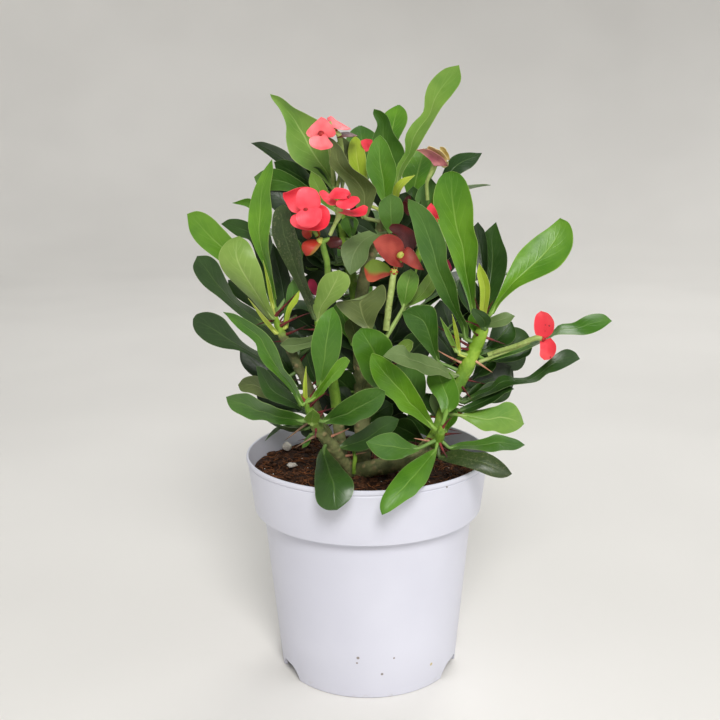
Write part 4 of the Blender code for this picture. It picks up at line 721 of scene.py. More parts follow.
def fine_thorn(shape, foot, point, r, slot, tip_slot, bend=0.06):
    axis = point - foot
    length = axis.length
    if length < 0.5:
        return
    along = axis.normalized()
    u = along.cross(Vector((0.2, 0.3, 1.0))).normalized()
    v = along.cross(u)
    rings, sides = 8, 8
    verts, faces, slots = [], [], []
    for i in range(rings):
        x = i / rings
        wide = r * ((1 - x) ** 0.8 * 0.70 + 0.55 * math.exp(-x * length / 1.3) + 0.05)
        c = foot + along * length * x + u * bend * length * math.sin(math.pi * x)
        for k in range(sides):
            q = 2 * math.pi * k / sides
            verts.append((c + (u * math.cos(q) + v * math.sin(q)) * wide) * MM)
    verts.append(point * MM)
    for i in range(rings - 1):
        for k in range(sides):
            a, b = i * sides + k, i * sides + (k + 1) % sides
            faces.append((a, b, b + sides, a + sides))
            slots.append(slot if i < 4 else tip_slot)
    for k in range(sides):
        faces.append(((rings - 1) * sides + k, (rings - 1) * sides + (k + 1) % sides, rings * sides))
        slots.append(tip_slot)
    faces.append(tuple(reversed(range(sides))))
    slots.append(slot)
    shape.shell(verts, faces, slots)


def nearest_on(axis, p):
    best, found = 1e9, None
    for a, b in axis:
        pa, pb = Vector(a[:3]), Vector(b[:3])
        ab = pb - pa
        q = pa + ab * max(0.0, min(1.0, (p - pa).dot(ab) / max(1e-9, ab.length_squared)))
        if (p - q).length < best:
            best, found = (p - q).length, q
    return found


def even_tube(points, sides, spacing=1.4, flat_foot=False):
    reach = sum(math.dist(p[:3], q[:3]) for p, q in zip(points, points[1:]))
    return tube_mesh(points, sides, flat_foot=flat_foot, steps=max(4, int(reach / spacing)))


# --------------------------------------------------------------------------- materials
def blend_of(c, d, f):
    return tuple(x * (1 - f) + y * f for x, y in zip(c, d))


SPOTS = {"pale": lin(140, 116, 48), "grey": lin(140, 116, 48), "speckled": lin(112, 116, 78)}

LEAVES = {}
for key, low, high, vein, margin, rough, veins in (
    ("bright", lin(68, 118, 20), lin(104, 152, 34), lin(150, 186, 84), lin(172, 196, 104), 0.36, 0.10),
    ("fresh", lin(58, 104, 20), lin(84, 132, 32), lin(128, 166, 72), lin(150, 180, 96), 0.36, 0.10),
    ("light", lin(86, 130, 40), lin(122, 158, 62), lin(168, 192, 110), lin(180, 198, 120), 0.42, 0.10),
    ("mid", lin(50, 92, 24), lin(76, 116, 40), lin(118, 152, 76), lin(140, 165, 96), 0.38, 0.10),
    ("dark", lin(30, 58, 16), lin(50, 82, 28), lin(86, 116, 54), lin(108, 132, 76), 0.38, 0.10),
    # Near-black green: a dark leaf green with the shade inside the bush painted into it.
    ("deep", lin(16, 32, 10), lin(30, 52, 18), lin(56, 80, 36), lin(72, 92, 48), 0.44, 0.08),
    ("olive", lin(72, 88, 40), lin(104, 118, 62), lin(140, 150, 92), lin(150, 158, 100), 0.44, 0.16),
    ("speckled", lin(38, 54, 22), lin(58, 78, 34), lin(84, 104, 54), lin(104, 122, 74), 0.42, 0.08),
    ("pale", lin(104, 138, 52), lin(134, 162, 76), lin(172, 192, 116), lin(184, 198, 128), 0.46, 0.16),
    ("grey", lin(80, 104, 54), lin(108, 130, 78), lin(138, 156, 104), lin(156, 170, 118), 0.48, 0.12),
    ("lime", lin(148, 176, 40), lin(186, 202, 74), lin(212, 222, 116), lin(216, 222, 130), 0.42, 0.08),
):
    front = leaf_material("leaf_" + key + "_front", low, high, vein, margin, rough, veins,
                          blotch=SPOTS.get(key))
    under = blend_of(high, lin(120, 146, 84), 0.4)
    back = leaf_material("leaf_" + key + "_back", blend_of(low, under, 0.5), under, blend_of(vein, under, 0.2), margin, 0.5, 0.18, 0.7)
    LEAVES[key] = (front, back)

# Tints of single blades where they differ from the table's.
RETINT = {
    "leaf_top_3": "olive", "leaf_top_4": "fresh", "leaf_top_5": "mid", "leaf_low_left_2": "fresh", "leaf_left_6": "fresh",
    "leaf_middle_1": "fresh", "leaf_middle_3": "mid", "leaf_low_right_7": "fresh", "leaf_more_1": "dark", "leaf_more_2": "fresh",
    "leaf_more_3": "deep", "leaf_more_4": "mid", "leaf_more_10": "deep", "leaf_more_15": "olive", "leaf_more_21": "olive",
    "leaf_more_22": "mid", "leaf_more_23": "deep", "leaf_more_24": "light",
    "leaf_low_right_1": "light", "leaf_low_right_4": "fresh", "leaf_more_12": "deep", "leaf_right_6": "dark", "leaf_left_7": "speckled",
    "leaf_low_right_3": "speckled", "leaf_more_9": "light", "leaf_right_5": "fresh",
}

BRACT_LOOK = {}
for key, low, high, vein, more in (
    ("red", lin(232, 44, 64), lin(255, 84, 98), lin(206, 28, 48), {}),
    ("rose", lin(236, 56, 70), lin(252, 92, 98), lin(206, 36, 48), {"specks": lin(96, 16, 20)}),
    ("orange", lin(132, 26, 18), lin(168, 48, 32), lin(112, 22, 14), {"second": lin(140, 104, 38), "across": 0.84}),
    ("maroon", lin(66, 8, 10), lin(104, 22, 22), lin(50, 6, 8), {}),
    ("wine", lin(40, 8, 9), lin(74, 18, 16), lin(34, 6, 8), {}),
    ("magenta", lin(120, 22, 52), lin(168, 44, 76), lin(90, 14, 36), {}),
    ("brick", lin(128, 34, 26), lin(164, 66, 52), lin(96, 24, 20), {}),
    ("pink", lin(244, 92, 100), lin(255, 134, 138), lin(210, 60, 70), {}),
    ("half", lin(150, 52, 34), lin(184, 84, 52), lin(120, 60, 30), {"second": lin(112, 136, 48), "across": 0.40}),
    ("faded", lin(168, 92, 104), lin(204, 136, 130), lin(128, 60, 70), {}),
    ("cream", lin(206, 184, 110), lin(232, 216, 160), lin(170, 132, 80), {}),
):
    BRACT_LOOK[key] = (bract_material("bract_" + key + "_front", low, high, vein, **more),
                       bract_material("bract_" + key + "_back", blend_of(low, lin(214, 110, 104), 0.08), blend_of(high, lin(224, 140, 128), 0.12), vein, 0.5, **more))

GREY_LOW, GREY_HIGH, SCAR = lin(84, 92, 54), lin(126, 130, 84), lin(164, 144, 104)


def height_of(a, d, depth):
    return at_depth(a, d, depth).z * MM


YOUNG_LOW, YOUNG_HIGH = lin(88, 128, 34), lin(126, 162, 54)
TIP_LOW, TIP_HIGH = lin(112, 150, 34), lin(144, 178, 60)
BARK_OLD = stem_material("bark_old", GREY_LOW, GREY_HIGH, SCAR, 0.66, 0.6)
BARK_TAN = stem_material("bark_tan", lin(116, 102, 68), lin(164, 146, 106), lin(90, 76, 52), 0.7, 0.5)
BARK_LOW_LEFT = stem_material("bark_low_left", GREY_LOW, GREY_HIGH, SCAR, 0.6, 0.5, [(height_of(323, 434, -25), height_of(313, 418, -29), YOUNG_LOW, YOUNG_HIGH)])
BARK_LEFT = stem_material("bark_left", GREY_LOW, GREY_HIGH, SCAR, 0.6, 0.5, [(height_of(286, 341, -9), height_of(280, 326, -9), TIP_LOW, TIP_HIGH)])
BARK_RIGHT = stem_material("bark_right", GREY_LOW, GREY_HIGH, SCAR, 0.6, 0.5, [
    (height_of(431, 444, -20), height_of(438, 430, -19), YOUNG_LOW, YOUNG_HIGH), (height_of(462, 378, -8), height_of(472, 352, -7), TIP_LOW, TIP_HIGH)])
BARK_GREEN = stem_material("bark_green", YOUNG_LOW, YOUNG_HIGH, lin(150, 160, 96), 0.5, 0.35)
THORN_LOW = stem_material("thorn_base", lin(92, 30, 34), lin(130, 52, 50), lin(70, 22, 26), 0.5, 0.3)
THORN_TIP = stem_material("thorn_point", lin(62, 20, 26), lin(96, 36, 38), lin(50, 16, 20), 0.45, 0.3)
THORN_PINK = stem_material("thorn_pink", lin(186, 128, 104), lin(216, 166, 138), lin(150, 92, 74), 0.55, 0.3)
THORN_OLD = stem_material("thorn_old", lin(96, 74, 58), lin(140, 112, 88), lin(76, 56, 44), 0.6, 0.3)
THORN_RED = stem_material("thorn_red", lin(172, 66, 36), lin(204, 96, 56), lin(140, 48, 28), 0.5, 0.3)
CUP_GREEN = plain_grain("flower_cup", lin(150, 158, 60), lin(196, 192, 96), 0.5, 500.0, 0.4)
CUP_RED = plain_grain("flower_cup_red", lin(130, 20, 26), lin(190, 54, 46), 0.42, 600.0, 0.4)
STAMEN = plain_grain("flower_stamen", lin(226, 196, 90), lin(246, 226, 150), 0.5, 700.0, 0.3)
STALK_GREEN = stem_material("flower_stalk_green", lin(84, 122, 40), lin(120, 154, 62), lin(150, 130, 74), 0.5, 0.25)
STALK_PALE = stem_material("flower_stalk_pale", lin(140, 160, 84), lin(172, 190, 116), lin(150, 140, 84), 0.5, 0.25)
COIR = plain_grain("coir", lin(24, 15, 10), lin(78, 50, 34), 0.92, 420.0, 1.0, 0.0016, 0.15)
COIR_CHUNK = plain_grain("coir_chunk", lin(34, 22, 15), lin(104, 68, 46), 0.9, 380.0, 0.8, 0.001, 0.15)
FIBRE = plain_grain("coir_fibre", lin(92, 52, 30), lin(164, 106, 64), 0.8, 900.0, 0.4, 0.0004, 0.2)
PERLITE = plain_grain("perlite_grain", lin(196, 188, 176), lin(238, 234, 226), 0.85, 700.0, 0.7, 0.0006, 0.2)
PERLITE_BLUE = plain_grain("perlite_grain_blue", lin(140, 160, 182), lin(190, 205, 222), 0.8, 700.0, 0.7, 0.0006, 0.2)


def outside_point(a, d):
    """Where the sight line through a sheet point first meets the outside of the pot, in mm."""
    r = ray(a, d)
    t = 300.0
    while t < 620.0:
        p = EYE + r * t
        if math.hypot(p.x, p.y) <= wall_r(p.z):
            return p
        t += 0.25
    return EYE + r * 450.0


def pot_material():
    s = Shader("pot_plastic")
    fine = s.noise(900.0, 3.0, 0.5)
    broad = s.noise(16.0, 3.0, 0.5)
    colour = s.mix(s.band(broad, 0.3, 0.7), lin(206, 207, 220), lin(214, 215, 227))
    sep = s.node("SeparateXYZ")
    s.put(s.place, sep.inputs[0])
    z = sep.outputs[2]
    dust = s.math("MULTIPLY", s.band(z, 0.006, 0.0), s.band(s.noise(240.0, 4.0, 0.6), 0.55, 0.75))
    colour = s.mix(s.math("MULTIPLY", dust, 0.25), colour, lin(168, 158, 142))
    for a, d, reach, tone in (
        (358, 658, 0.0009, lin(110, 92, 70)), (357, 663, 0.0006, lin(120, 100, 80)), (394, 658, 0.0006, lin(120, 100, 80)),
        (382, 674, 0.0008, lin(104, 88, 70)), (431, 664, 0.0010, lin(190, 170, 90)), (447, 487, 0.0007, lin(110, 96, 84)),
    ):
        p = outside_point(a, d) * MM
        colour = s.mix(s.math("MULTIPLY", s.near(p, reach), 0.8), colour, tone)
    rough = s.band(s.noise(60.0, 3.0), 0.25, 0.75, 0.36, 0.48)
    return s.finish(colour, rough, s.math("ADD", fine, s.math("MULTIPLY", broad, 0.5)), 0.05, 0.0003, 0.45)


# --------------------------------------------------------------------------- pieces
def wall_r(z):
    if z >= POT_COLLAR_Z:
        return POT_COLLAR_R + (POT_RIM_R - 0.5 - POT_COLLAR_R) * (z - POT_COLLAR_Z) / (POT_HEIGHT - 2.4 - POT_COLLAR_Z)
    return POT_FOOT_R + (POT_BODY_R - POT_FOOT_R) * z / POT_COLLAR_Z


def make_pot(mat):
    w, top, zf = POT_WALL, POT_HEIGHT, POT_FLOOR_Z
    corner = []
    for k in range(5):                                   # soft turn from body to collar
        q = math.radians(-90 + 22.5 * k)
        corner.append((POT_COLLAR_R - 0.45 + 0.45 * math.cos(q), POT_COLLAR_Z + 0.45 + 0.45 * math.sin(q)))
    profile = [
        (0, 0), (POT_WELL_R - 0.5, 0), (POT_WELL_R, 0.15), (POT_WELL_R + 5.0, zf),
        (POT_FOOT_R - 2.2, zf), (POT_FOOT_R - 1.7, 0.1), (POT_FOOT_R - 1.5, 0), (POT_FOOT_R - 0.5, 0), (POT_FOOT_R - 0.15, 0.15), (POT_FOOT_R + 0.02, 0.5),
        (POT_FOOT_R + 2.3, 25.0), (POT_FOOT_R + 4.8, 52.0),
        (POT_BODY_R - 0.12, POT_COLLAR_Z - 1.2), (POT_BODY_R + 0.1, POT_COLLAR_Z - 0.15), (POT_BODY_R + 0.5, POT_COLLAR_Z + 0.05),
    ] + corner + [
        (wall_r(91.0), 91.0), (wall_r(100.0), 100.0), (wall_r(top - 3.1), top - 3.1), (wall_r(top - 2.8) - 0.22, top - 2.8), (wall_r(top - 2.5) - 0.25, top - 2.45),
        (POT_RIM_R - 0.15, top - 2.1), (POT_RIM_R, top - 1.7), (POT_RIM_R, top - 0.8), (POT_RIM_R - 0.15, top - 0.3), (POT_RIM_R - 0.5, top), (POT_RIM_R - 0.9, top - 0.02),
        (POT_RIM_R - 1.15, top - 0.3),
        (POT_COLLAR_R - w + 0.3, POT_COLLAR_Z + w + 1.0), (POT_BODY_R - w, POT_COLLAR_Z - 1.0),
        (POT_FOOT_R - w + 0.6, zf + w + 1.0), (POT_FOOT_R - w - 1.0, zf + w), (POT_WELL_R + 5.6, zf + w), (POT_WELL_R + 0.7, w), (0, w),
    ]
    segments = 180
    bm = bmesh.new()
    low = bm.verts.new((0, 0, profile[0][1] * MM))
    high = bm.verts.new((0, 0, profile[-1][1] * MM))
    rings = []
    for r, z in profile[1:-1]:
        rings.append([bm.verts.new((r * MM * math.cos(q), r * MM * math.sin(q), z * MM))
                      for q in (2 * math.pi * (s + 0.5) / segments for s in range(segments))])
    for k in range(segments):
        j = (k + 1) % segments
        bm.faces.new((low, rings[0][j], rings[0][k]))
        bm.faces.new((high, rings[-1][k], rings[-1][j]))
        for r0, r1 in zip(rings, rings[1:]):
            bm.faces.new((r0[k], r0[j], r1[j], r1[k]))
    bmesh.ops.recalc_face_normals(bm, faces=bm.faces[:])
    mesh = bpy.data.meshes.new("pot_shell")
    bm.to_mesh(mesh)
    bm.free()
    mesh.materials.append(mat)
    pot = bpy.data.objects.new("pot_shell", mesh)
    bpy.context.scene.collection.objects.link(pot)
    cut = bmesh.new()
    for centre, span in NOTCHES:
        ring_in, ring_out, n = POT_FOOT_R - 5.0, POT_FOOT_R + 3.0, 18
        bottom, upper = [], []
        for k in range(n + 1):
            x = k / n
            q = math.radians(-90 + centre - span / 2 + span * x)
            h = NOTCH_HEIGHT * min(1.0, 1.25 * math.sin(math.pi * x)) ** 0.6 if 0 < x < 1 else 0.02
            bottom.append([cut.verts.new((r * math.cos(q) * MM, r * math.sin(q) * MM, -2 * MM)) for r in (ring_in, ring_out)])
            upper.append([cut.verts.new((r * math.cos(q) * MM, r * math.sin(q) * MM, h * MM)) for r in (ring_in, ring_out)])
        for k in range(n):
            cut.faces.new((bottom[k][0], bottom[k + 1][0], bottom[k + 1][1], bottom[k][1]))
            cut.faces.new((upper[k][0], upper[k][1], upper[k + 1][1], upper[k + 1][0]))
            cut.faces.new((bottom[k][0], upper[k][0], upper[k + 1][0], bottom[k + 1][0]))
            cut.faces.new((bottom[k][1], bottom[k + 1][1], upper[k + 1][1], upper[k][1]))
        cut.faces.new((bottom[0][0], bottom[0][1], upper[0][1], upper[0][0]))
        cut.faces.new((bottom[n][0], upper[n][0], upper[n][1], bottom[n][1]))
    for k in range(DRAIN_HOLES):
        q = 2 * math.pi * (k + 0.5) / DRAIN_HOLES
        made = bmesh.ops.create_cone(cut, cap_ends=True, segments=32, radius1=DRAIN_HOLE_R * MM, radius2=DRAIN_HOLE_R * MM, depth=6 * MM)
        for v in made["verts"]:
            v.co += Vector((DRAIN_HOLE_RING_R * math.cos(q), DRAIN_HOLE_RING_R * math.sin(q), POT_FLOOR_Z + 0.5)) * MM
    bmesh.ops.recalc_face_normals(cut, faces=cut.faces[:])
    cut_mesh = bpy.data.meshes.new("pot_openings")
    cut.to_mesh(cut_mesh)
    cut.free()
    cutter = bpy.data.objects.new("pot_openings", cut_mesh)
    bpy.context.scene.collection.objects.link(cutter)
    mod = pot.modifiers.new("openings", "BOOLEAN")
    mod.operation, mod.solver, mod.object = "DIFFERENCE", "EXACT", cutter
    bpy.context.view_layer.update()
    made = bpy.data.meshes.new_from_object(pot.evaluated_get(bpy.context.evaluated_depsgraph_get()))
    pot.modifiers.clear()
    pot.data = made
    pot.data.name = "pot_shell"
    bpy.data.objects.remove(cutter, do_unlink=True)
    pot.data.shade_smooth()
    pot.data.set_sharp_from_angle(angle=math.radians(32))
    return pot


def soil_height(x, y):
    """Top of the compost in mm."""
    r = math.hypot(x, y)
    h = 1.5 * noise.noise(Vector((x, y, 0)) * 0.055) + 0.9 * noise.noise(Vector((x, y, 9)) * 0.16) + 0.35 * noise.noise(Vector((x, y, 4)) * 0.55)
    return SOIL_TOP + h - 0.9 * max(0.0, (r - 42) / 15.0)


def make_soil():
    w, g, zf = POT_WALL, GAP, POT_FLOOR_Z
    segments, rings = 150, 62
    outer = POT_COLLAR_R - w + 0.3 + (POT_RIM_R - 1.1 - (POT_COLLAR_R - w + 0.3)) * (SOIL_TOP - POT_COLLAR_Z - w - 1.0) / (POT_HEIGHT - 0.15 - POT_COLLAR_Z - w - 1.0) - g
    shape = Shape()
    verts, faces = [(0, 0, soil_height(0, 0) * MM)], []
    for i in range(1, rings + 1):
        for k in range(segments):
            q = 2 * math.pi * k / segments
            r = outer * i / rings
            x, y = r * math.cos(q), r * math.sin(q)
            verts.append((x * MM, y * MM, soil_height(x, y) * MM))
    side = [(POT_COLLAR_R - w + 0.3 - g, POT_COLLAR_Z + w + 1.25), (POT_BODY_R - w - g, POT_COLLAR_Z - 0.8), (POT_FOOT_R - w + 0.3 - g, zf + w + 1.3),
            (POT_FOOT_R - w - 1.3 - g, zf + w + g), (POT_WELL_R + 5.2, zf + w + g), (POT_WELL_R + 0.4, w + g)]
    for r, z in side:
        for k in range(segments):
            q = 2 * math.pi * k / segments
            verts.append((r * math.cos(q) * MM, r * math.sin(q) * MM, z * MM))
    last = len(verts)
    verts.append((0, 0, (w + g) * MM))
    total = rings + len(side)
    for k in range(segments):
        j = (k + 1) % segments
        faces.append((0, 1 + k, 1 + j))
        for i in range(total - 1):
            a = 1 + i * segments
            faces.append((a + k, a + segments + k, a + segments + j, a + j))
        a = 1 + (total - 1) * segments
        faces.append((last, a + j, a + k))
    shape.shell(verts, faces, 0)
    return shape


def make_soil_bits(shape, axis):
    rnd = random.Random(41)
    for k in range(1150):
        r, q = 55.6 * math.sqrt(rnd.random()), rnd.uniform(0, 2 * math.pi)
        x, y = r * math.cos(q), r * math.sin(q)
        size = rnd.choice((0.5, 0.6, 0.8, 1.0, 1.3, 1.7)) * rnd.uniform(0.8, 1.2)
        bm = bmesh.new()
        bmesh.ops.create_icosphere(bm, subdivisions=1 if size < 1.2 else 2, radius=1.0)
        turn = Matrix.Rotation(rnd.uniform(0, 6.28), 3, "Z") @ Matrix.Rotation(rnd.uniform(-0.6, 0.6), 3, "X")
        squash = Vector((rnd.uniform(0.8, 1.6), rnd.uniform(0.6, 1.1), rnd.uniform(0.4, 0.8)))
        seed = rnd.uniform(0, 50)
        z = soil_height(x, y) + size * rnd.uniform(-0.1, 0.45)
        for v in bm.verts:
            c = v.co.copy()
            c *= 1.0 + 0.45 * noise.noise(c * 1.7 + Vector((seed, 0, 0)))
            c = turn @ Vector((c.x * squash.x, c.y * squash.y, c.z * squash.z)) * size
            v.co = (c + Vector((x, y, z))) * MM
        shape.bmesh(bm, 1)
    for k in range(420):
        r, q = 55.0 * math.sqrt(rnd.random()), rnd.uniform(0, 2 * math.pi)
        x, y = r * math.cos(q), r * math.sin(q)
        heading, length = rnd.uniform(0, 6.28), rnd.uniform(3.0, 13.0)
        curl = rnd.uniform(-1.4, 1.4)
        pts = []
        for i in range(6):
            t = i / 5
            a = heading + curl * t
            px, py = x + math.cos(a) * length * (t - 0.5), y + math.sin(a) * length * (t - 0.5)
            rr = math.hypot(px, py)
            if rr > 56:
                px, py = px * 56 / rr, py * 56 / rr
            pts.append((px, py, soil_height(px, py) + 0.25 + rnd.uniform(0.0, 0.8), rnd.uniform(0.10, 0.2) * (1.1 - 0.6 * abs(2 * t - 1))))
        shape.bmesh(tube_mesh(pts, 4, steps=6), 2)
    for k in range(26):
        r, q = 53.0 * math.sqrt(rnd.random()), rnd.uniform(0, 2 * math.pi)
        x, y = r * math.cos(q), r * math.sin(q)
        size = rnd.uniform(0.35, 0.8)
        shape.bmesh(ball_mesh((x, y, soil_height(x, y) + size * 0.5), size, (1, 0.8, 0.7), 1, 0.2), 3)


def make_perlite():
    out = []
    spots = (("perlite_1", (287, 449), 2.6, (1.0, 0.9, 0.85), PERLITE), ("perlite_2", (292, 466), 2.1, (1.2, 0.8, 0.6), PERLITE))
    for name, (a, d), r, squash, mat in spots:
        ground = at_height(a, d, SOIL_TOP + 1.2)
        centre = Vector((ground.x, ground.y, SOIL_TOP + GAP + r * squash[2] * 1.0))
        bm = bmesh.new()
        bmesh.ops.create_icosphere(bm, subdivisions=4, radius=1.0)
        for v in bm.verts:
            c = v.co.copy()
            k = 1.0 + 0.22 * noise.noise(c * 1.6 + centre) + 0.10 * noise.noise(c * 4.0 + centre) + 0.04 * noise.noise(c * 9.0)
            v.co = (centre + Vector((c.x * squash[0], c.y * squash[1], c.z * squash[2])) * r * k) * MM
        shape = Shape()
        shape.bmesh(bm, 0)
        out.append((name, shape.to_object(name + "_grain", [mat], 80)))
    return out


def all_axis():
    axis = []
    for branch in BRANCHES:
        pts = branch_points(branch)
        smooth = [spline(pts, k / 24) for k in range(25)]
        axis += list(zip(smooth, smooth[1:]))
    return axis


def petiole(shape, axis, grid, slot, wide=0.9):
    base = grid[0][len(grid[0]) // 2]
    q = nearest_on(axis, base)
    gap = (base - q).length
    if gap < 0.4 or gap > 30:
        return
    ahead = grid[min(2, len(grid) - 1)][len(grid[0]) // 2]
    half = max(0.55, min(1.5, (grid[0][-1] - grid[0][0]).length * 0.4))
    pts = [(*q, wide * 1.25), (*(q.lerp(base, 0.5)), wide), (*base, max(wide * 0.8, half * 0.8)), (*ahead, 0.35)]
    shape.bmesh(tube_mesh(pts, 10, steps=12), slot, 0.08, 500.0, (0.5, 0.05))


def make_leaf(row, axis, seed, rows=34, cols=15):
    name, tint, ea, eb, tip, depths, tilt, fold = row
    grid, marks, end = fine_grid(ea, eb, tip, depths, tilt, fold, rows, cols)
    shape = Shape()
    sheet_shell(shape, grid, marks, end, 0.6, seed, wave=0.75)
    petiole(shape, axis, grid, 1)
    return shape.to_object(name + "_blade", list(LEAVES[RETINT.get(name, tint)]))


def make_spray(row, axis, seed):
    name, tint, foot, heading, rise, length, width, droop, roll = row
    grid, marks, end = spray_grid(foot, heading, rise, length, width, droop, roll, 34, 15)
    shape = Shape()
    sheet_shell(shape, grid, marks, end, 0.6, seed, wave=0.9, toward=Vector((0, 0, 1)))
    petiole(shape, axis, grid, 1)
    return shape.to_object(name + "_blade", list(LEAVES[RETINT.get(name, tint)]))


# Looks of single bracts where they differ from the table's: flower and place in its list.
BRACT_TINT = {
    ("flower_stalk_left", 1): "wine", ("flower_middle_2", 1): "half", ("flower_top_3", 1): "cream",
    ("flower_right_1", 0): "rose", ("flower_right_1", 1): "rose", ("flower_top_1", 0): "pink", ("flower_top_1", 1): "pink", ("flower_top_2", 0): "pink",
}


def make_flower(row, seed):
    name, centre, cup, stalk = row
    shape = Shape()
    mats, index = [], {}

    def slot(mat):
        if mat.name not in index:
            index[mat.name] = len(mats)
            mats.append(mat)
        return index[mat.name]

    for k, bract in enumerate(b for b in BRACTS if b[0] == name):
        front, back = BRACT_LOOK[BRACT_TINT.get((name, k), bract[1])]
        grid, marks, end = fine_grid(bract[2], bract[3], bract[4], bract[5], bract[6], bract[7], 22, 15)
        sheet_shell(shape, grid, marks, end, 0.5, seed + k * 1.7, slot(front), slot(back), wave=0.35, rib=0.12)
    pts = []
    for a, d, depth, r in stalk:
        p = at_depth(a, d, depth)
        pts.append((p.x, p.y, p.z, r))
    pale = name in ("flower_left_4", "flower_middle_2", "flower_top_3", "flower_right_1", "flower_top_1", "flower_top_2")
    shape.bmesh(even_tube(pts, 14, 0.8), slot(STALK_PALE if pale else STALK_GREEN), 0.10, 420.0)
    c = at_depth(*centre)
    front_facing = name in ("flower_left_1", "flower_left_2", "flower_left_3", "flower_top_1", "flower_right_1", "flower_left_4")
    if front_facing:
        shape.bmesh(ball_mesh((c.x, c.y, c.z), cup * 0.72, (1, 1, 1), 3, 0.08), slot(CUP_RED), 0.06, 700.0)
        return shape.to_object(name + "_bloom", mats, 60)
    shape.bmesh(ball_mesh((c.x, c.y, c.z), cup * 0.92, (1, 1, 1), 3, 0.08), slot(CUP_GREEN), 0.08, 700.0)
    if name in ("flower_middle_1", "flower_stalk_left"):
        return shape.to_object(name + "_bloom", mats, 60)
    out = (SIGHT * -1 + Vector((0, 0, 0.35))).normalized()
    u = out.cross(Vector((0.1, 0.2, 1))).normalized()
    v = out.cross(u)
    for k in range(5):
        q = 2 * math.pi * (k + 0.3) / 5
        p = c + out * cup * 0.62 + (u * math.cos(q) + v * math.sin(q)) * cup * 0.72
        shape.bmesh(ball_mesh(tuple(p), cup * 0.30, (1.2, 0.8, 0.7), 2, 0.1), slot(CUP_GREEN if name == "flower_top_3" else CUP_RED))
        q += 0.6
        a = c + out * cup * 0.6 + (u * math.cos(q) + v * math.sin(q)) * cup * 0.25
        b = c + out * cup * 1.35 + (u * math.cos(q) + v * math.sin(q)) * cup * 0.5
        shape.bmesh(tube_mesh([(*a, 0.12), (*b, 0.09)], 5, steps=3), slot(STAMEN))
        shape.bmesh(ball_mesh(tuple(b), 0.22, (1, 1, 1), 1, 0.1), slot(STAMEN))
    return shape.to_object(name + "_bloom", mats, 60)


SPROUT = [(354, 473, -20, 1.0), (354, 466, -21, 0.9), (355, 459, -21, 1.1), (354, 452, -21, 0.8), (353, 449, -21, 0.35)]
PALE_STALK = [(479, 362, -9, 1.0), (492, 357, -9, 0.8), (508, 351, -9, 0.7), (522, 346, -10, 0.6), (530, 343, -10, 0.4)]
BARK_OF = {0: 5, 1: 6, 2: 5, 6: 0, 7: 7, 8: 2}                # slot of each branch's bark
THORN_OF = {7: 9, 8: 9, 11: 8, 12: 8, 17: 3, 18: 8, 24: 8, 25: 8, 16: 10}  # slots of the thorns that aren't maroon


def make_bracts(name, rows):
    shape = Shape()
    mats = []
    for k, (look, ea, eb, tip, depths, tilt, fold) in enumerate(rows):
        grid, marks, end = fine_grid(ea, eb, tip, depths, tilt, fold, 22, 15)
        for mat in BRACT_LOOK[look]:
            if mat not in mats:
                mats.append(mat)
        sheet_shell(shape, grid, marks, end, 0.5, 40 + k * 1.3, mats.index(BRACT_LOOK[look][0]), mats.index(BRACT_LOOK[look][1]),
                    wave=1.1 if look == "cream" else 0.4, rib=0.1)
    return shape.to_object(name + "_bracts", mats, 60)


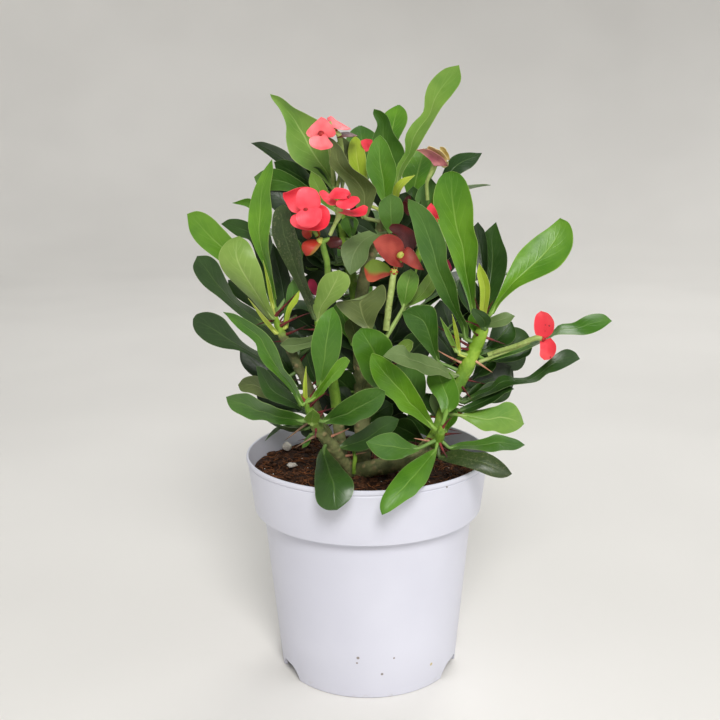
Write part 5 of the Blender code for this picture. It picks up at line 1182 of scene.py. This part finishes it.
def make_stem(axis):
    shape = Shape()
    mats = [BARK_OLD, BARK_TAN, BARK_GREEN, THORN_LOW, THORN_TIP, BARK_LOW_LEFT, BARK_LEFT, BARK_RIGHT, THORN_PINK, THORN_OLD, THORN_RED]
    rnd = random.Random(17)
    for k, branch in enumerate(BRANCHES):
        pts = branch_points(branch)
        young = branch[0][2] is not None or branch[0][0] == 359
        bm = even_tube(pts, 22, 0.9, flat_foot=branch[0][2] is None)
        bm.normal_update()
        for v in bm.verts:                                    # knots and leaf scars
            c = v.co / MM
            swell = max(0.0, noise.noise(c * 0.16 + Vector((k, 0, 0))) - 0.15) * 2.2
            v.co += v.normal * (0.55 * swell + 0.22 * noise.noise(c * 0.55) + 0.10 * noise.noise(c * 1.4)) * MM * (0.6 if young else 1.0)
        shape.bmesh(bm, BARK_OF.get(k, 2 if young else 0))
    for path, slot in (SPROUT, 2), (PALE_STALK, len(mats)):
        places = [at_depth(a, d, depth) for a, d, depth, r in path]
        shape.bmesh(even_tube([(c.x, c.y, c.z, row[3]) for c, row in zip(places, path)], 12, 0.9), slot, 0.10, 420.0)
    mats.append(STALK_PALE)
    for k, (foot, point) in enumerate(THORNS):
        p = at_depth(*foot)
        q = nearest_on(axis, p)
        look = THORN_OF.get(k, 3)
        fine_thorn(shape, q, at_depth(*point), 1.05, look, 4 if look == 3 else look, rnd.uniform(-0.08, 0.08))
    for k, branch in enumerate(BRANCHES):
        pts = branch_points(branch)
        reach = sum(math.dist(p[:3], q[:3]) for p, q in zip(pts, pts[1:]))
        n = int(reach / 4.2)
        for i in range(2, n):
            smp, nxt = spline(pts, i / n), spline(pts, min(1.0, i / n + 0.02))
            c = Vector(smp[:3])
            if c.z < SOIL_TOP + 3:
                continue
            along = (Vector(nxt[:3]) - c)
            if along.length < 1e-6:
                continue
            along.normalize()
            u = along.cross(Vector((0.3, 0.2, 1))).normalized()
            v = along.cross(u)
            q = i * 2.399 + k
            for turn in (-0.35, 0.35):
                out = (u * math.cos(q + turn) + v * math.sin(q + turn) + along * rnd.uniform(0.0, 0.35)).normalized()
                if out.dot(SIGHT) < 0.15:
                    continue
                length = rnd.uniform(5.0, 8.5) + smp[3]
                fine_thorn(shape, c + out * smp[3] * 0.6, c + out * (length + smp[3]), 0.62, 3, 4, rnd.uniform(-0.08, 0.08))
    seed = 0
    for tint, ea, eb, tip, depths, tilt, fold in YOUNG:
        seed += 1
        grid, marks, end = fine_grid(ea, eb, tip, depths, tilt, fold, 26, 11)
        for mat in LEAVES[tint]:
            if mat not in mats:
                mats.append(mat)
        sheet_shell(shape, grid, marks, end, 0.5, seed * 2.3, mats.index(LEAVES[tint][0]), mats.index(LEAVES[tint][1]), wave=0.3)
        petiole(shape, axis, grid, mats.index(LEAVES[tint][1]), 0.6)
    return shape.to_object("stem_bark", mats, 60)


# Further leaves, in the same layout as the tables above.
EXTRA = [
    ("leaf_more_1", "grey", "269,302 259,268 250,241 237,236", "274,300 270,262 259,232 246,221 230,219", "221,224", (-2, 8, 14, 14), 3, 1.0),
    ("leaf_more_2", "dark", "278,300 268,262 258,228 250,209", "283,298 275,255 266,222 251,199", "232,203", (0, 14, 22, 24), 3, 1.0),
    ("leaf_more_3", "mid", "279,318 274,290 270,258", "293,301 290,276 282,256", "273,243", (-8, 0, 4), 2, 1.0),
    ("leaf_more_4", "bright", "283,325 285,305 288,287", "288,322 294,305 299,293 298,284", "293,279", (-10, -12, -12), 2, 1.0),
    ("leaf_more_5", "mid", "334,206 310,200 286,191 266,190 257,184", "336,200 314,190 296,178 278,169 264,170", "254,177", (8, 9, 12, 14), 3, 1.0),
    ("leaf_more_6", "light", "336,213 318,200 309,184", "340,208 330,194 321,178", "311,171", (4, 0, -2), 2, 1.0),
    ("leaf_more_7", "lime", "366,205 353,176 348,155 350,142", "369,203 367,180 365,152 360,140", "355,136", (5, 4, 4), 2, 1.0),
    ("leaf_more_8", "mid", "425,240 415,214 417,192", "430,238 440,212 443,194", "431,178", (10, 12, 14), 2, 1.0),
    ("leaf_more_9", "dark", "455,353 446,335", "458,350 450,332", "440,317", (-13, -18, -20), 1, 0.6),
    ("leaf_more_10", "mid", "482,300 475,255 470,232", "486,298 488,255 485,232", "478,222", (-2, 6, 10), 2, 1.0),
    ("leaf_more_11", "dark", "482,330 474,318 471,312", "488,328 491,319 484,312", "473,308", (-9, -14, -15), 1, 0.6),
    ("leaf_more_12", "dark", "463,389 470,377 482,371 497,367", "466,393 481,391 496,388 508,379", "511,366", (-4, 4, 8), 3, 1.0),
    ("leaf_more_13", "dark", "305,431 290,431 277,427", "306,427 290,427 277,424", "266,420", (-28, -26, -24), 12, 0.6),
    ("leaf_more_14", "dark", "294,424 277,427 270,433", "296,428 283,428 275,433", "265,441", (-26, -20, -16), 2, 0.6),
    ("leaf_more_15", "pale", "292,404 264,398 250,393 241,391", "294,398 266,382 256,376 244,378", "238,385", (-14, -8, -4), 3, 1.4),
    ("leaf_more_16", "dark", "301,410 284,405 267,398 260,385", "304,404 290,392 276,380 264,368", "256,366", (-26, -22, -18), 3, 1.0),
    ("leaf_more_17", "bright", "313,402 321,397 326,390 332,383 339,378 345,370", "311,398 318,388 325,378 331,369 338,360 345,357", "350,361", (-33, -42, -48), 3, 1.0),
    ("leaf_more_18", "grey", "318,345 300,350 291,353", "318,333 304,338 289,338", "280,345", (-18, -16, -14), 2, 1.0),
    ("leaf_more_19", "pale", "403,308 412,297 420,284 429,273", "407,307 420,302 430,296 436,287 440,276", "438,267", (-10, -12, -10), 2, 1.0),
    ("leaf_more_20", "light", "402,307 398,295 397,284 402,274", "405,307 413,298 418,286 418,276", "411,269", (-12, -15, -14), 2, 1.0),
    ("leaf_more_21", "grey", "368,331 352,321 341,311 336,303 350,300 362,299", "372,330 378,313 386,298 383,285", "372,291", (-16, -17, -16), 2, 2.0),
    ("leaf_more_22", "grey", "389,234 379,216 380,202", "393,232 403,216 401,200", "391,194", (-6, -9, -9), 2, 1.0),
    ("leaf_more_23", "mid", "374,238 354,229", "377,233 366,220", "349,219", (0, -1, -1), 1, 0.6),
    ("leaf_more_24", "grey", "306,424 304,418", "318,424 320,416", "313,409", (-31, -38, -44), 1, 1.0),
    ("leaf_more_25", "mid", "310,433 304,441", "313,436 308,445", "302,448", (-26, -28, -30), 1, 0.6),
    ("leaf_more_26", "dark", "412,215 406,206 405,196", "416,213 421,204 421,193", "413,186", (12, 14, 15), 1, 0.8),
]

# Inner foliage: tint, base and tip on the sheet, width, bend, depth at base and tip. Most are tinted near-black green:
# the shade inside the bush painted into the leaves' colour.
INNER = [
    ("deep", (345, 300), (303, 278), 26, 3, 9, 6), ("deep", (349, 272), (306, 240), 26, -3, 10, 4), ("dark", (352, 250), (322, 216), 22, 2, 11, 8),
    ("deep", (322, 262), (301, 236), 20, 3, 4, 6), ("mid", (300, 275), (283, 236), 22, 3, 2, 8), ("deep", (306, 228), (268, 190), 24, 3, 10, 14),
    ("deep", (330, 345), (288, 312), 24, 2, 0, 4), ("dark", (322, 392), (304, 346), 20, -2, -2, 0), ("deep", (334, 372), (298, 338), 20, 2, 2, 8),
    ("fresh", (352, 345), (338, 302), 22, 1, 0, -6), ("olive", (356, 352), (350, 318), 18, 2, -2, -8), ("deep", (362, 375), (330, 346), 24, 2, 4, 0),
    ("dark", (360, 402), (332, 374), 26, 2, 6, 2), ("deep", (352, 418), (318, 390), 24, -2, 4, 2), ("deep", (362, 436), (334, 410), 24, 2, 6, 4),
    ("deep", (384, 350), (402, 316), 30, 3, 8, 10), ("deep", (380, 345), (432, 318), 34, -3, 12, 14), ("dark", (386, 370), (428, 336), 30, 2, 4, 6),
    ("pale", (388, 352), (413, 342), 14, 2, -8, -14), ("mid", (424, 416), (397, 364), 34, 3, 0, -6), ("deep", (372, 392), (420, 372), 34, 2, 8, 10),
    ("deep", (364, 418), (404, 396), 30, 2, 6, 6), ("dark", (366, 424), (392, 404), 22, -2, 0, -2), ("deep", (372, 432), (412, 420), 24, 2, 4, 8),
    ("dark", (426, 444), (392, 424), 24, 2, -8, -10), ("deep", (458, 362), (440, 300), 30, 2, 6, 10), ("deep", (470, 345), (452, 290), 24, 2, 8, 12),
    ("dark", (478, 325), (463, 276), 22, 1, 4, 8), ("dark", (484, 350), (512, 322), 26, 2, 6, 10), ("dark", (486, 366), (526, 350), 28, 2, 6, 12),
    ("deep", (470, 390), (513, 370), 34, 3, 2, 8), ("dark", (463, 402), (512, 390), 22, -2, -4, 2), ("grey", (442, 428), (436, 390), 18, 1, -12, -14),
    ("deep", (440, 285), (450, 240), 24, 2, 12, 14), ("dark", (298, 385), (262, 334), 22, 2, 2, 8), ("deep", (290, 388), (240, 350), 22, -2, 6, 12),
    ("dark", (296, 405), (258, 374), 28, 3, 0, 8), ("deep", (308, 414), (256, 392), 26, 2, -4, 4), ("dark", (266, 318), (228, 280), 16, 2, 0, 8),
    ("deep", (366, 285), (400, 268), 30, 2, 10, 8), ("deep", (362, 312), (396, 290), 30, 2, 6, 4), ("deep", (376, 245), (352, 206), 26, 2, 10, 8),
    ("deep", (398, 240), (406, 192), 26, 1, 12, 14), ("olive", (342, 190), (343, 137), 20, 1, 6, 4), ("dark", (332, 190), (306, 170), 16, 2, 12, 12),
    ("deep", (345, 325), (312, 300), 26, 2, 4, 2), ("deep", (330, 440), (300, 428), 16, 2, -6, -2), ("deep", (386, 330), (396, 296), 20, 2, 4, 2),
    ("deep", (418, 255), (402, 222), 24, 2, 14, 14), ("dark", (446, 410), (430, 372), 18, 2, -6, -8),
    ("deep", (340, 285), (298, 254), 26, 2, 8, 6), ("deep", (462, 374), (433, 330), 32, 2, 2, 4), ("dark", (433, 440), (408, 414), 20, 2, -6, -4),
    ("dark", (438, 422), (426, 393), 15, 1, -10, -8), ("fresh", (446, 432), (454, 408), 11, 1, -20, -18), ("dark", (462, 399), (487, 385), 13, 1, -6, -2),
    ("dark", (470, 381), (493, 352), 20, 2, 2, 8), ("fresh", (477, 341), (471, 314), 11, 1, -4, -6), ("dark", (283, 343), (250, 318), 15, 1, 0, 4),
    ("deep", (312, 346), (278, 325), 22, 2, 2, 4), ("dark", (326, 196), (274, 162), 19, 2, 14, 16), ("deep", (386, 216), (374, 184), 18, 1, 8, 8),
    ("deep", (331, 263), (293, 225), 24, 2, 2, 4), ("deep", (337, 262), (321, 222), 20, 1, 3, 6), ("deep", (356, 250), (343, 210), 20, 1, 8, 8),
    ("deep", (396, 292), (407, 257), 22, 1, 8, 8), ("deep", (414, 294), (424, 257), 22, 1, 8, 10), ("deep", (362, 354), (338, 334), 16, 1, 2, 0),
    ("deep", (385, 346), (380, 311), 16, 1, 0, 4), ("deep", (356, 409), (336, 388), 16, 1, 2, 2), ("mid", (352, 240), (347, 216), 18, 1, 2, 0),
]

# Bracts of flowers that are nearly hidden: look, edges, tip, depths, tilt, fold.
HIDDEN_BRACTS = [
    ("red", "366,152 362,146 361,141", "370,150 372,144 372,140", "366,139", (3, 2, 2), 1, 0.5),
    ("red", "434,222 428,213 427,208", "440,222 437,212 434,206", "431,203", (6, 4, 4), 1, 0.5),
    ("magenta", "315,296 309,288 308,282", "319,292 317,285 314,280", "310,279", (-8, -10, -10), 1, 0.6),
    ("orange", "308,240 303,236 302,231", "312,236 312,231 309,228", "304,228", (-24, -26, -26), 1, 0.5),
    ("orange", "316,238 314,233 314,230", "320,236 320,231 318,229", "316,228", (-24, -26, -26), 1, 0.5),
    ("magenta", "450,272 445,268 443,263", "452,268 450,263 448,260", "444,259", (2, 1, 1), 1, 0.4),
    ("wine", "395,208 402,203 406,197", "400,212 408,207 411,200", "410,195", (4, 2, 2), 1, 0.6),
    ("maroon", "408,216 404,211 402,206", "412,213 410,208 408,203", "404,201", (2, 1, 0), 1, 0.4),
]

# The withered top flower: look, edges, tip, depths, tilt, fold.
WITHERED = [
    ("cream", "437,163 432,157 429,151 427,148", "447,162 446,156 441,151 435,148", "429,146", (2, 0, -2), 3, 1.6),
    ("cream", "440,160 441,154 440,149 440,147", "450,160 449,155 447,151 445,148", "443,147", (4, 3, 2), 2, 1.2),
    ("faded", "434,166 430,160 424,155 420,152", "448,166 443,158 434,152 425,149", "416,150", (1, -1, -3), 3, 1.0),
]


def spoon(base, tip, width, bend):
    """Two edges of a spoon-shaped blade on the sheet."""
    dx, dy = tip[0] - base[0], tip[1] - base[1]
    length = math.hypot(dx, dy)
    nx, ny = -dy / length, dx / length
    edges = ["", ""]
    for t, half in ((0.0, 0.12), (0.16, 0.24), (0.32, 0.52), (0.48, 0.82), (0.64, 1.0), (0.78, 0.94), (0.90, 0.64)):
        off = bend * math.sin(math.pi * t)
        for e, sign in ((0, 1), (1, -1)):
            k = off + sign * half * width / 2
            edges[e] += " %.2f,%.2f" % (base[0] + dx * t + nx * k, base[1] + dy * t + ny * k)
    return edges[0].strip(), edges[1].strip(), "%.2f,%.2f" % tip


# name, tint, foot, heading, rise, length, width, droop, roll
EXTRA_SPRAYS = [
    ("leaf_rear_1", "mid", (10, 18, 205), 62, 34, 46, 19, 30, 12),
    ("leaf_rear_2", "bright", (-6, 16, 190), 118, 30, 44, 18, 34, -10),
    ("leaf_rear_3", "dark", (26, 14, 176), 38, 26, 48, 18, 40, 8),
    ("leaf_rear_4", "mid", (-18, 14, 165), 136, 22, 44, 17, 40, -12),
    ("leaf_rear_5", "bright", (22, 20, 228), 74, 46, 42, 18, 26, 10),
    ("leaf_rear_6", "mid", (0, 20, 238), 96, 52, 40, 17, 24, -8),
    ("leaf_rear_7", "dark", (8, 10, 150), 84, 12, 46, 18, 30, 10),
    ("leaf_rear_8", "mid", (40, 8, 170), 20, 30, 40, 16, 34, -10),
    ("leaf_rear_9", "grey", (-34, 4, 178), 160, 30, 38, 16, 34, 10),
    ("leaf_rear_10", "light", (30, 12, 214), 50, 44, 38, 16, 30, 6),
    ("leaf_rear_11", "fresh", (-16, 12, 138), 128, 26, 42, 17, 44, 8),
    ("leaf_rear_12", "mid", (16, 12, 134), 58, 24, 44, 17, 46, -10),
    ("leaf_rear_13", "bright", (-2, 14, 172), 100, 30, 46, 18, 42, 8),
    ("leaf_rear_14", "fresh", (30, 12, 194), 34, 34, 40, 16, 34, -8),
    ("leaf_rear_15", "mid", (-28, 8, 200), 150, 36, 38, 16, 34, 10),
    ("leaf_rear_16", "bright", (10, 16, 250), 70, 58, 34, 15, 22, -6),
    ("leaf_rear_17", "mid", (36, 0, 150), 10, 24, 36, 15, 40, 8),
]


def register(obj, node=None):
    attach(obj, "root")
    if node:
        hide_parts(node)


def main():
    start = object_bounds()
    axis = all_axis()
    register(make_pot(pot_material()), "pot")
    soil = make_soil()
    make_soil_bits(soil, axis)
    register(soil.to_object("soil_compost", [COIR, COIR_CHUNK, FIBRE, PERLITE], 75), "soil")
    for name, obj in make_perlite():
        register(obj, name)
    register(make_stem(axis), "stem")
    for k, row in enumerate(BLADES):
        register(make_leaf(row, axis, k * 1.37 + 1), row[0])
    for k, row in enumerate(SPRAYS):
        register(make_spray(row, axis, k * 1.91 + 2), row[0])
    for k, row in enumerate(STALKS):
        register(make_flower(row, k), row[0])
    for k, row in enumerate(EXTRA):
        register(make_leaf(row, axis, k * 2.11 + 3), None)
    for k, (tint, base, tip, width, bend, d0, d1) in enumerate(INNER):
        row = ("leaf_inner_%d" % (k + 1), tint, *spoon(base, tip, width, bend), (d0, (d0 + d1) / 2 - 1.5, d1), 6 if k % 2 else -6, 1.8)
        register(make_leaf(row, axis, k * 1.83 + 7, 22, 11), None)
    register(make_bracts("flower_hidden", HIDDEN_BRACTS), None)
    register(make_bracts("flower_withered", WITHERED), None)
    for k, row in enumerate(EXTRA_SPRAYS):
        register(make_spray(row, axis, k * 2.71 + 5), None)
    make_stage()
    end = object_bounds()
    return start, end


def make_stage():
    s = Shader("studio_floor")
    grain = s.noise(3.0, 2.0)
    mat = s.finish(s.mix(s.band(grain, 0.3, 0.7), lin(226, 224, 220), lin(232, 230, 226)), 0.8, None, specular=0.2)
    bm = bmesh.new()
    profile = [(0.0, 0.0), (0.5, 0.0), (1.4, 0.0)]
    for k in range(1, 13):
        q = math.radians(90 * k / 12)
        profile.append((1.4 + 0.9 * math.sin(q), 0.9 - 0.9 * math.cos(q)))
    profile.append((2.3, 2.6))
    segments = 96
    centre = bm.verts.new((0, 0, -0.0002))
    rings = []
    for r, z in profile[1:]:
        rings.append([bm.verts.new((r * math.cos(2 * math.pi * k / segments), r * math.sin(2 * math.pi * k / segments), z - 0.0002)) for k in range(segments)])
    for k in range(segments):
        j = (k + 1) % segments
        bm.faces.new((centre, rings[0][k], rings[0][j]))
        for r0, r1 in zip(rings, rings[1:]):
            bm.faces.new((r0[k], r1[k], r1[j], r0[j]))
    mesh = bpy.data.meshes.new("studio_floor")
    bm.to_mesh(mesh)
    bm.free()
    mesh.shade_smooth()
    mesh.materials.append(mat)
    floor = bpy.data.objects.new("studio_floor", mesh)
    bpy.context.scene.collection.objects.link(floor)
    floor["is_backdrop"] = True

    world = bpy.data.worlds.new("studio")
    bpy.context.scene.world = world
    world.use_nodes = True
    world.node_tree.nodes["Background"].inputs[0].default_value = (0.86, 0.92, 1.0, 1.0)
    world.node_tree.nodes["Background"].inputs[1].default_value = WORLD_LIGHT

    for name, place, size, power, tone in LAMPS:
        data = bpy.data.lights.new(name, "AREA")
        data.shape, data.size, data.energy, data.color = "DISK", size, power, tone
        lamp = bpy.data.objects.new(name, data)
        lamp.location = place
        lamp.rotation_euler = (Vector((0, 0, 0.15)) - Vector(place)).to_track_quat("-Z", "Y").to_euler()
        bpy.context.scene.collection.objects.link(lamp)

    bpy.context.scene.view_settings.view_transform = "Standard"

    cam = bpy.data.cameras.new("sheet_camera")
    cam.sensor_fit, cam.sensor_width, cam.lens = "HORIZONTAL", 36.0, 36.0 * SHEET_FOCAL / SHEET
    cam.clip_start, cam.clip_end = 0.01, 20.0
    camera = bpy.data.objects.new("sheet_camera", cam)
    back = SIGHT * -1
    camera.matrix_world = Matrix(((ACROSS.x, UP.x, back.x, EYE.x * MM), (ACROSS.y, UP.y, back.y, EYE.y * MM), (ACROSS.z, UP.z, back.z, EYE.z * MM), (0, 0, 0, 1)))
    bpy.context.scene.collection.objects.link(camera)
    bpy.context.scene.camera = camera


WORLD_LIGHT = 0.27
LAMPS = (
    ("key", (0.20, -1.5, 1.45), 0.75, 31.5, (1.0, 0.985, 0.965)),
    ("fill", (1.5, -0.5, 0.9), 1.1, 4.5, (0.96, 0.98, 1.0)),
    ("rear", (0.5, 1.3, 1.4), 0.9, 9.0, (1.0, 0.99, 0.97)),
)

BEGIN, END = main()
